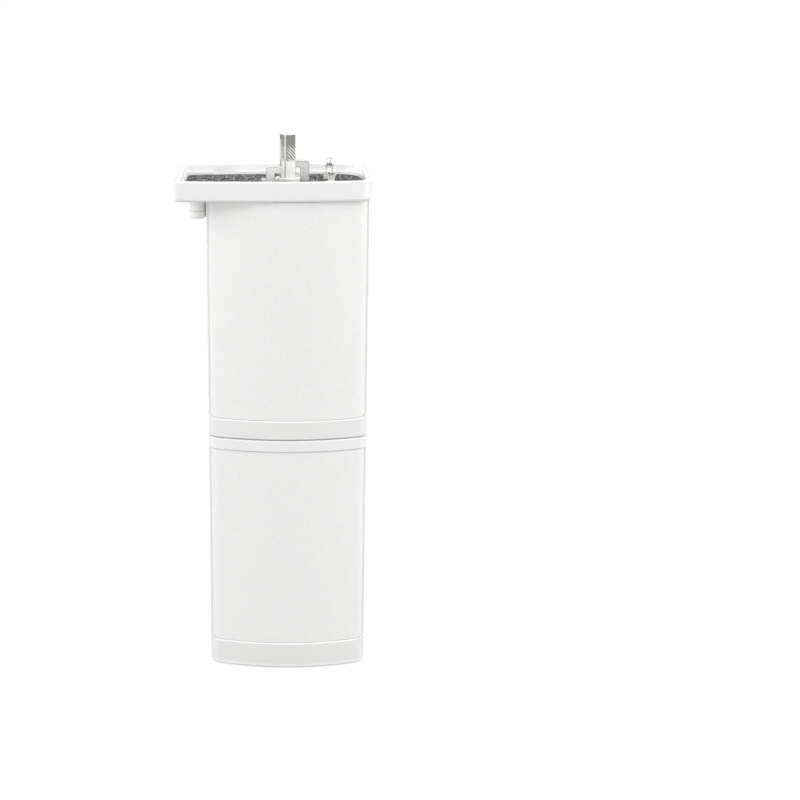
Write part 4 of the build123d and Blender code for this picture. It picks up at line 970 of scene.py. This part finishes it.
foam_tree, given, result = shape_tree(
    "Open cell foam",
    *sockets(number, "Spacing", "Cell radius", "Flatness"), *sockets(whole, "Seed"),
    *sockets(finish_socket, "Sheet finish", "Cell finish"),
)
up = axes(foam_tree, shaped(foam_tree, "InputNormal"))["Z"]
scatter = add_node(foam_tree, "GeometryNodeDistributePointsOnFaces", distribute_method="POISSON")
feed(
    foam_tree, scatter, Mesh=given["Geometry"], Selection=calc(foam_tree, "GREATER_THAN", up, facing_up),
    Distance_Min=given["Spacing"], Density_Max=most_cells, Seed=given["Seed"],
)
ball = shaped(foam_tree, "MeshIcoSphere", Subdivisions=1, Radius=given["Cell radius"])
growth_ends = {2: smallest_cell, 3: largest_cell, "Seed": given["Seed"]}
growth = add_node(foam_tree, "FunctionNodeRandomValue", growth_ends, data_type="FLOAT").outputs[1]
pressed = point(foam_tree, growth, growth, calc(foam_tree, "MULTIPLY", growth, given["Flatness"]))
cells = shaped(
    foam_tree, "InstanceOnPoints", Points=scatter.outputs["Points"], Instance=ball, Scale=pressed
)
cell_shape = finished_shape(foam_tree, cells, given["Cell finish"])
sheet_shape = finished_shape(foam_tree, given["Geometry"], given["Sheet finish"])
link(foam_tree, joined(foam_tree, cell_shape, sheet_shape), result)
print("tree", foam_tree.name, "with", len(foam_tree.nodes), "nodes")

# %% Foam sheet with its cells
foam_sheet = shape_from_tree(
    "foam_sheet", foam_tree, start=merged_mesh("head_gasket"), Spacing=0.9 * millimetre,
    Cell_radius=0.3 * millimetre, Flatness=0.4, Seed=7, Sheet_finish=foam_dark, Cell_finish=foam_pale,
)
stand_for(foam_sheet, "head_gasket")

# %% [markdown]
# ## The armature's sheets
# A motor core isn't solid. It is a stack of thin stamped sheets, which keeps eddy currents small. The CAD
# node has the outline of one sheet along its whole length, so a copy of it, pressed to the thickness of a
# sheet, is repeated on a line of points.

# %% Tree for the stack of sheets
stack_tree, given, result = shape_tree(
    "Stacked sheets",
    *sockets(number, "Base", "Pitch", "Sheet share"), *sockets(whole, "Count"),
    *sockets(finish_socket, "Finish"),
)
drop = point(stack_tree, z=calc(stack_tree, "MULTIPLY", given["Base"], -1.0))
lowered = shaped(stack_tree, "Transform", Geometry=given["Geometry"], Translation=drop)
thin = point(stack_tree, 1.0, 1.0, given["Sheet share"])
one_sheet = shaped(stack_tree, "Transform", Geometry=lowered, Scale=thin)
sheet_levels = levels(stack_tree, given["Count"], given["Base"], given["Pitch"])
stack = shaped(stack_tree, "InstanceOnPoints", Points=sheet_levels, Instance=one_sheet)
link(stack_tree, finished_shape(stack_tree, stack, given["Finish"]), result)
print("tree", stack_tree.name, "with", len(stack_tree.nodes), "nodes")

# %% Stack for the armature core
core_low, core_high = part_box("armature_core")
core_length = core_high.z - core_low.z
sheet_pitch = 0.52 * millimetre
sheet_fill = 0.92
sheet_count = round(core_length / sheet_pitch)
core_stack = shape_from_tree(
    "core_stack", stack_tree, start=merged_mesh("armature_core"), Base=core_low.z,
    Pitch=core_length / sheet_count, Sheet_share=sheet_fill / sheet_count, Count=sheet_count,
    Finish=core_steel,
)
stand_for(core_stack, "armature_core")

# %% [markdown]
# ## The armature's wire
# The windings are enamelled wire: a bundle of straight strands through each slot, and heads of turned wire
# at both ends. A grid of points, trimmed to a round, holds the strands of one slot, and a ring of points
# repeats the bundle.

# %% Tree for the wound wire
strands_across = 12
strand_sides = 6

wire_tree, given, result = shape_tree(
    "Wound wire",
    *sockets(number, "Slot circle", "Bundle radius", "Wire", "Low", "High", "Head inner", "Head outer"),
    *sockets(whole, "Slots", "Head levels"), *sockets(finish_socket, "Finish"),
)
wind = partial(calc, wire_tree)
wire_radius = wind("MULTIPLY", given["Wire"], 0.5)
width = wind("MULTIPLY", given["Wire"], float(strands_across - 1))
square = shaped(
    wire_tree, "MeshGrid", Size_X=width, Size_Y=width, Vertices_X=strands_across, Vertices_Y=strands_across
)
place = {0: shaped(wire_tree, "InputPosition")}
from_middle = add_node(wire_tree, "ShaderNodeVectorMath", place, operation="LENGTH").outputs["Value"]
outside = wind("GREATER_THAN", from_middle, wind("SUBTRACT", given["Bundle radius"], wire_radius))
trimmed = add_node(wire_tree, "GeometryNodeDeleteGeometry", domain="POINT")
feed(wire_tree, trimmed, Geometry=square, Selection=outside)
length = wind("SUBTRACT", given["High"], given["Low"])
strand = shaped(wire_tree, "MeshCylinder", Vertices=strand_sides, Radius=wire_radius, Depth=length)
bundle = shaped(wire_tree, "InstanceOnPoints", Points=trimmed.outputs["Geometry"], Instance=strand)
slot_ring = shaped(wire_tree, "MeshCircle", Vertices=given["Slots"], Radius=given["Slot circle"])
bundles = shaped(wire_tree, "InstanceOnPoints", Points=slot_ring, Instance=bundle)
middle = wind("MULTIPLY", wind("ADD", given["High"], given["Low"]), 0.5)
raised = shaped(wire_tree, "Transform", Geometry=bundles, Translation=point(wire_tree, z=middle))
print("bundles of", wire_tree.name, "with", len(wire_tree.nodes), "nodes")

# %% [markdown]
# A flat spiral, repeated level by level from each end inwards, makes the two heads.

# %% Heads of turned wire
spiral_points = 28
wire_sides = 5

head_width = wind("SUBTRACT", given["Head outer"], given["Head inner"])
coil = shaped(
    wire_tree, "CurveSpiral", Resolution=spiral_points, Rotations=wind("DIVIDE", head_width, given["Wire"]),
    Start_Radius=wind("ADD", given["Head inner"], wire_radius),
    End_Radius=wind("SUBTRACT", given["Head outer"], wire_radius), Height=0.0,
)
round_wire = shaped(wire_tree, "CurvePrimitiveCircle", Resolution=wire_sides, Radius=wire_radius)
turns = shaped(wire_tree, "CurveToMesh", Curve=coil, Profile_Curve=round_wire, Fill_Caps=True)
heads = []
for end, inward in (("Low", 1.0), ("High", -1.0)):
    first_level = wind("ADD", given[end], wind("MULTIPLY", wire_radius, inward))
    level_step = wind("MULTIPLY", given["Wire"], inward)
    head_levels = levels(wire_tree, given["Head levels"], first_level, level_step)
    heads.append(shaped(wire_tree, "InstanceOnPoints", Points=head_levels, Instance=turns))
link(wire_tree, finished_shape(wire_tree, joined(wire_tree, raised, *heads), given["Finish"]), result)
print("tree", wire_tree.name, "with", len(wire_tree.nodes), "nodes")

# %% Winding of the armature
wire_low, wire_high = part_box("armature_windings")
winding = shape_from_tree(
    "wound_armature", wire_tree, Slot_circle=8.6 * millimetre, Bundle_radius=3.1 * millimetre,
    Wire=0.5 * millimetre, Slots=5, Low=wire_low.z, High=wire_high.z, Head_inner=4.4 * millimetre,
    Head_outer=wire_high.x, Head_levels=6, Finish=copper,
)
stand_for(winding, "armature_windings")

# %% [markdown]
# ## Floor and backdrop
# A pale sheet under and behind the object. To the camera, and in reflections, it is plain white, as paper
# is in an overexposed sweep, and only a trace of the shadow is kept. To every other ray it is a pale
# diffuse surface, so it lights the object from below at a plain level. Its back is clear, and the whole
# sheet is clear to a ray that starts a few millimetres away, so that a view from below shows the underside,
# lit.

# %% Stage
paper_grey = (0.5, 0.5, 0.5, 1)
paper_rough = 0.9
paper_glow = 1.08
glow_share = 0.9
clear_within = 6 * millimetre


def white_to_the_eye(tree):
    ray = add_node(tree, "ShaderNodeLightPath").outputs
    seen = calc(tree, "MAXIMUM", ray["Is Camera Ray"], ray["Is Glossy Ray"])
    return calc(tree, "MAXIMUM", seen, ray["Is Transmission Ray"])


def blended(tree, share, first, second):
    return add_node(tree, "ShaderNodeMixShader", {"Fac": share, 1: first, 2: second}).outputs["Shader"]


def paper_sweep():
    material, tree, shader = new_material("Paper sweep")
    feed(tree, shader, Base_Color=paper_grey, Roughness=paper_rough, Specular_IOR_Level=0)
    glow = add_node(tree, "ShaderNodeEmission", {"Strength": paper_glow}).outputs["Emission"]
    white = calc(tree, "MULTIPLY", white_to_the_eye(tree), glow_share)
    paper = blended(tree, white, shader.outputs["BSDF"], glow)
    length = add_node(tree, "ShaderNodeLightPath").outputs["Ray Length"]
    from_behind = add_node(tree, "ShaderNodeNewGeometry").outputs["Backfacing"]
    clear = calc(tree, "MAXIMUM", from_behind, calc(tree, "LESS_THAN", length, clear_within))
    nothing = add_node(tree, "ShaderNodeBsdfTransparent").outputs["BSDF"]
    link(tree, blended(tree, clear, paper, nothing), tree.nodes["Material Output"].inputs["Surface"])
    return material


floor_half = 12.0
floor_gap = 0.2 * millimetre
floor_shape = bmesh.new()
bmesh.ops.create_grid(floor_shape, x_segments=1, y_segments=1, size=floor_half)
bmesh.ops.translate(floor_shape, verts=floor_shape.verts, vec=(0, 0, -floor_gap))
floor_mesh = bpy.data.meshes.new("Floor")
floor_shape.to_mesh(floor_mesh)
floor_shape.free()
floor_mesh.materials.append(paper_sweep())
floor = into_scene("Floor", floor_mesh)
print("floor", 2 * floor_half, "m across")

# %% [markdown]
# ## Light
# A broad soft lamp high above the front does most of the work, a low one in front fills the shade under
# the overhang, and one at each side keeps the narrow flanks white. A weak one behind keeps the back from
# going grey in other views, and stays out of reflections, where it would turn the hooks' tops white. A big
# lamp close by gives soft edges to every shadow, and the even surround is what the metal reflects.

# %% Lamps and surround
aim = Vector((0, 0, 0.12))
surround_level = 0.46


def soft_lamp(name, place, size, power):
    data = bpy.data.lights.new(name, "AREA")
    data.shape = "RECTANGLE"
    data.size, data.size_y = size
    data.energy = power
    lamp = into_scene(name, data)
    lamp.location = place
    lamp.rotation_euler = (aim - lamp.location).to_track_quat("-Z", "Y").to_euler()
    return lamp


soft_lamp("High front", place=(-0.2, -0.75, 1.35), size=(1.4, 0.9), power=9.8)
soft_lamp("Low front", place=(-0.5, -1.3, 0.35), size=(1.0, 0.7), power=3.9)
soft_lamp("Left", place=(-1.2, -0.2, 0.6), size=(0.8, 1.0), power=7.6)
soft_lamp("Right", place=(1.2, -0.2, 0.6), size=(0.8, 1.0), power=12)
rear = soft_lamp("Rear", place=(0.2, 1.4, 0.7), size=(1.2, 1.0), power=4.8)
rear.visible_glossy = False

world = bpy.data.worlds.new("White surround")
bpy.context.scene.world = world
world.use_nodes = True
sky = world.node_tree
brightness = spread(sky, white_to_the_eye(sky), 0.0, 1.0, surround_level, 1.0)
feed(sky, sky.nodes["Background"], Strength=brightness, Color=(1, 1, 1, 1))
print("lamps:", len(bpy.data.lights))
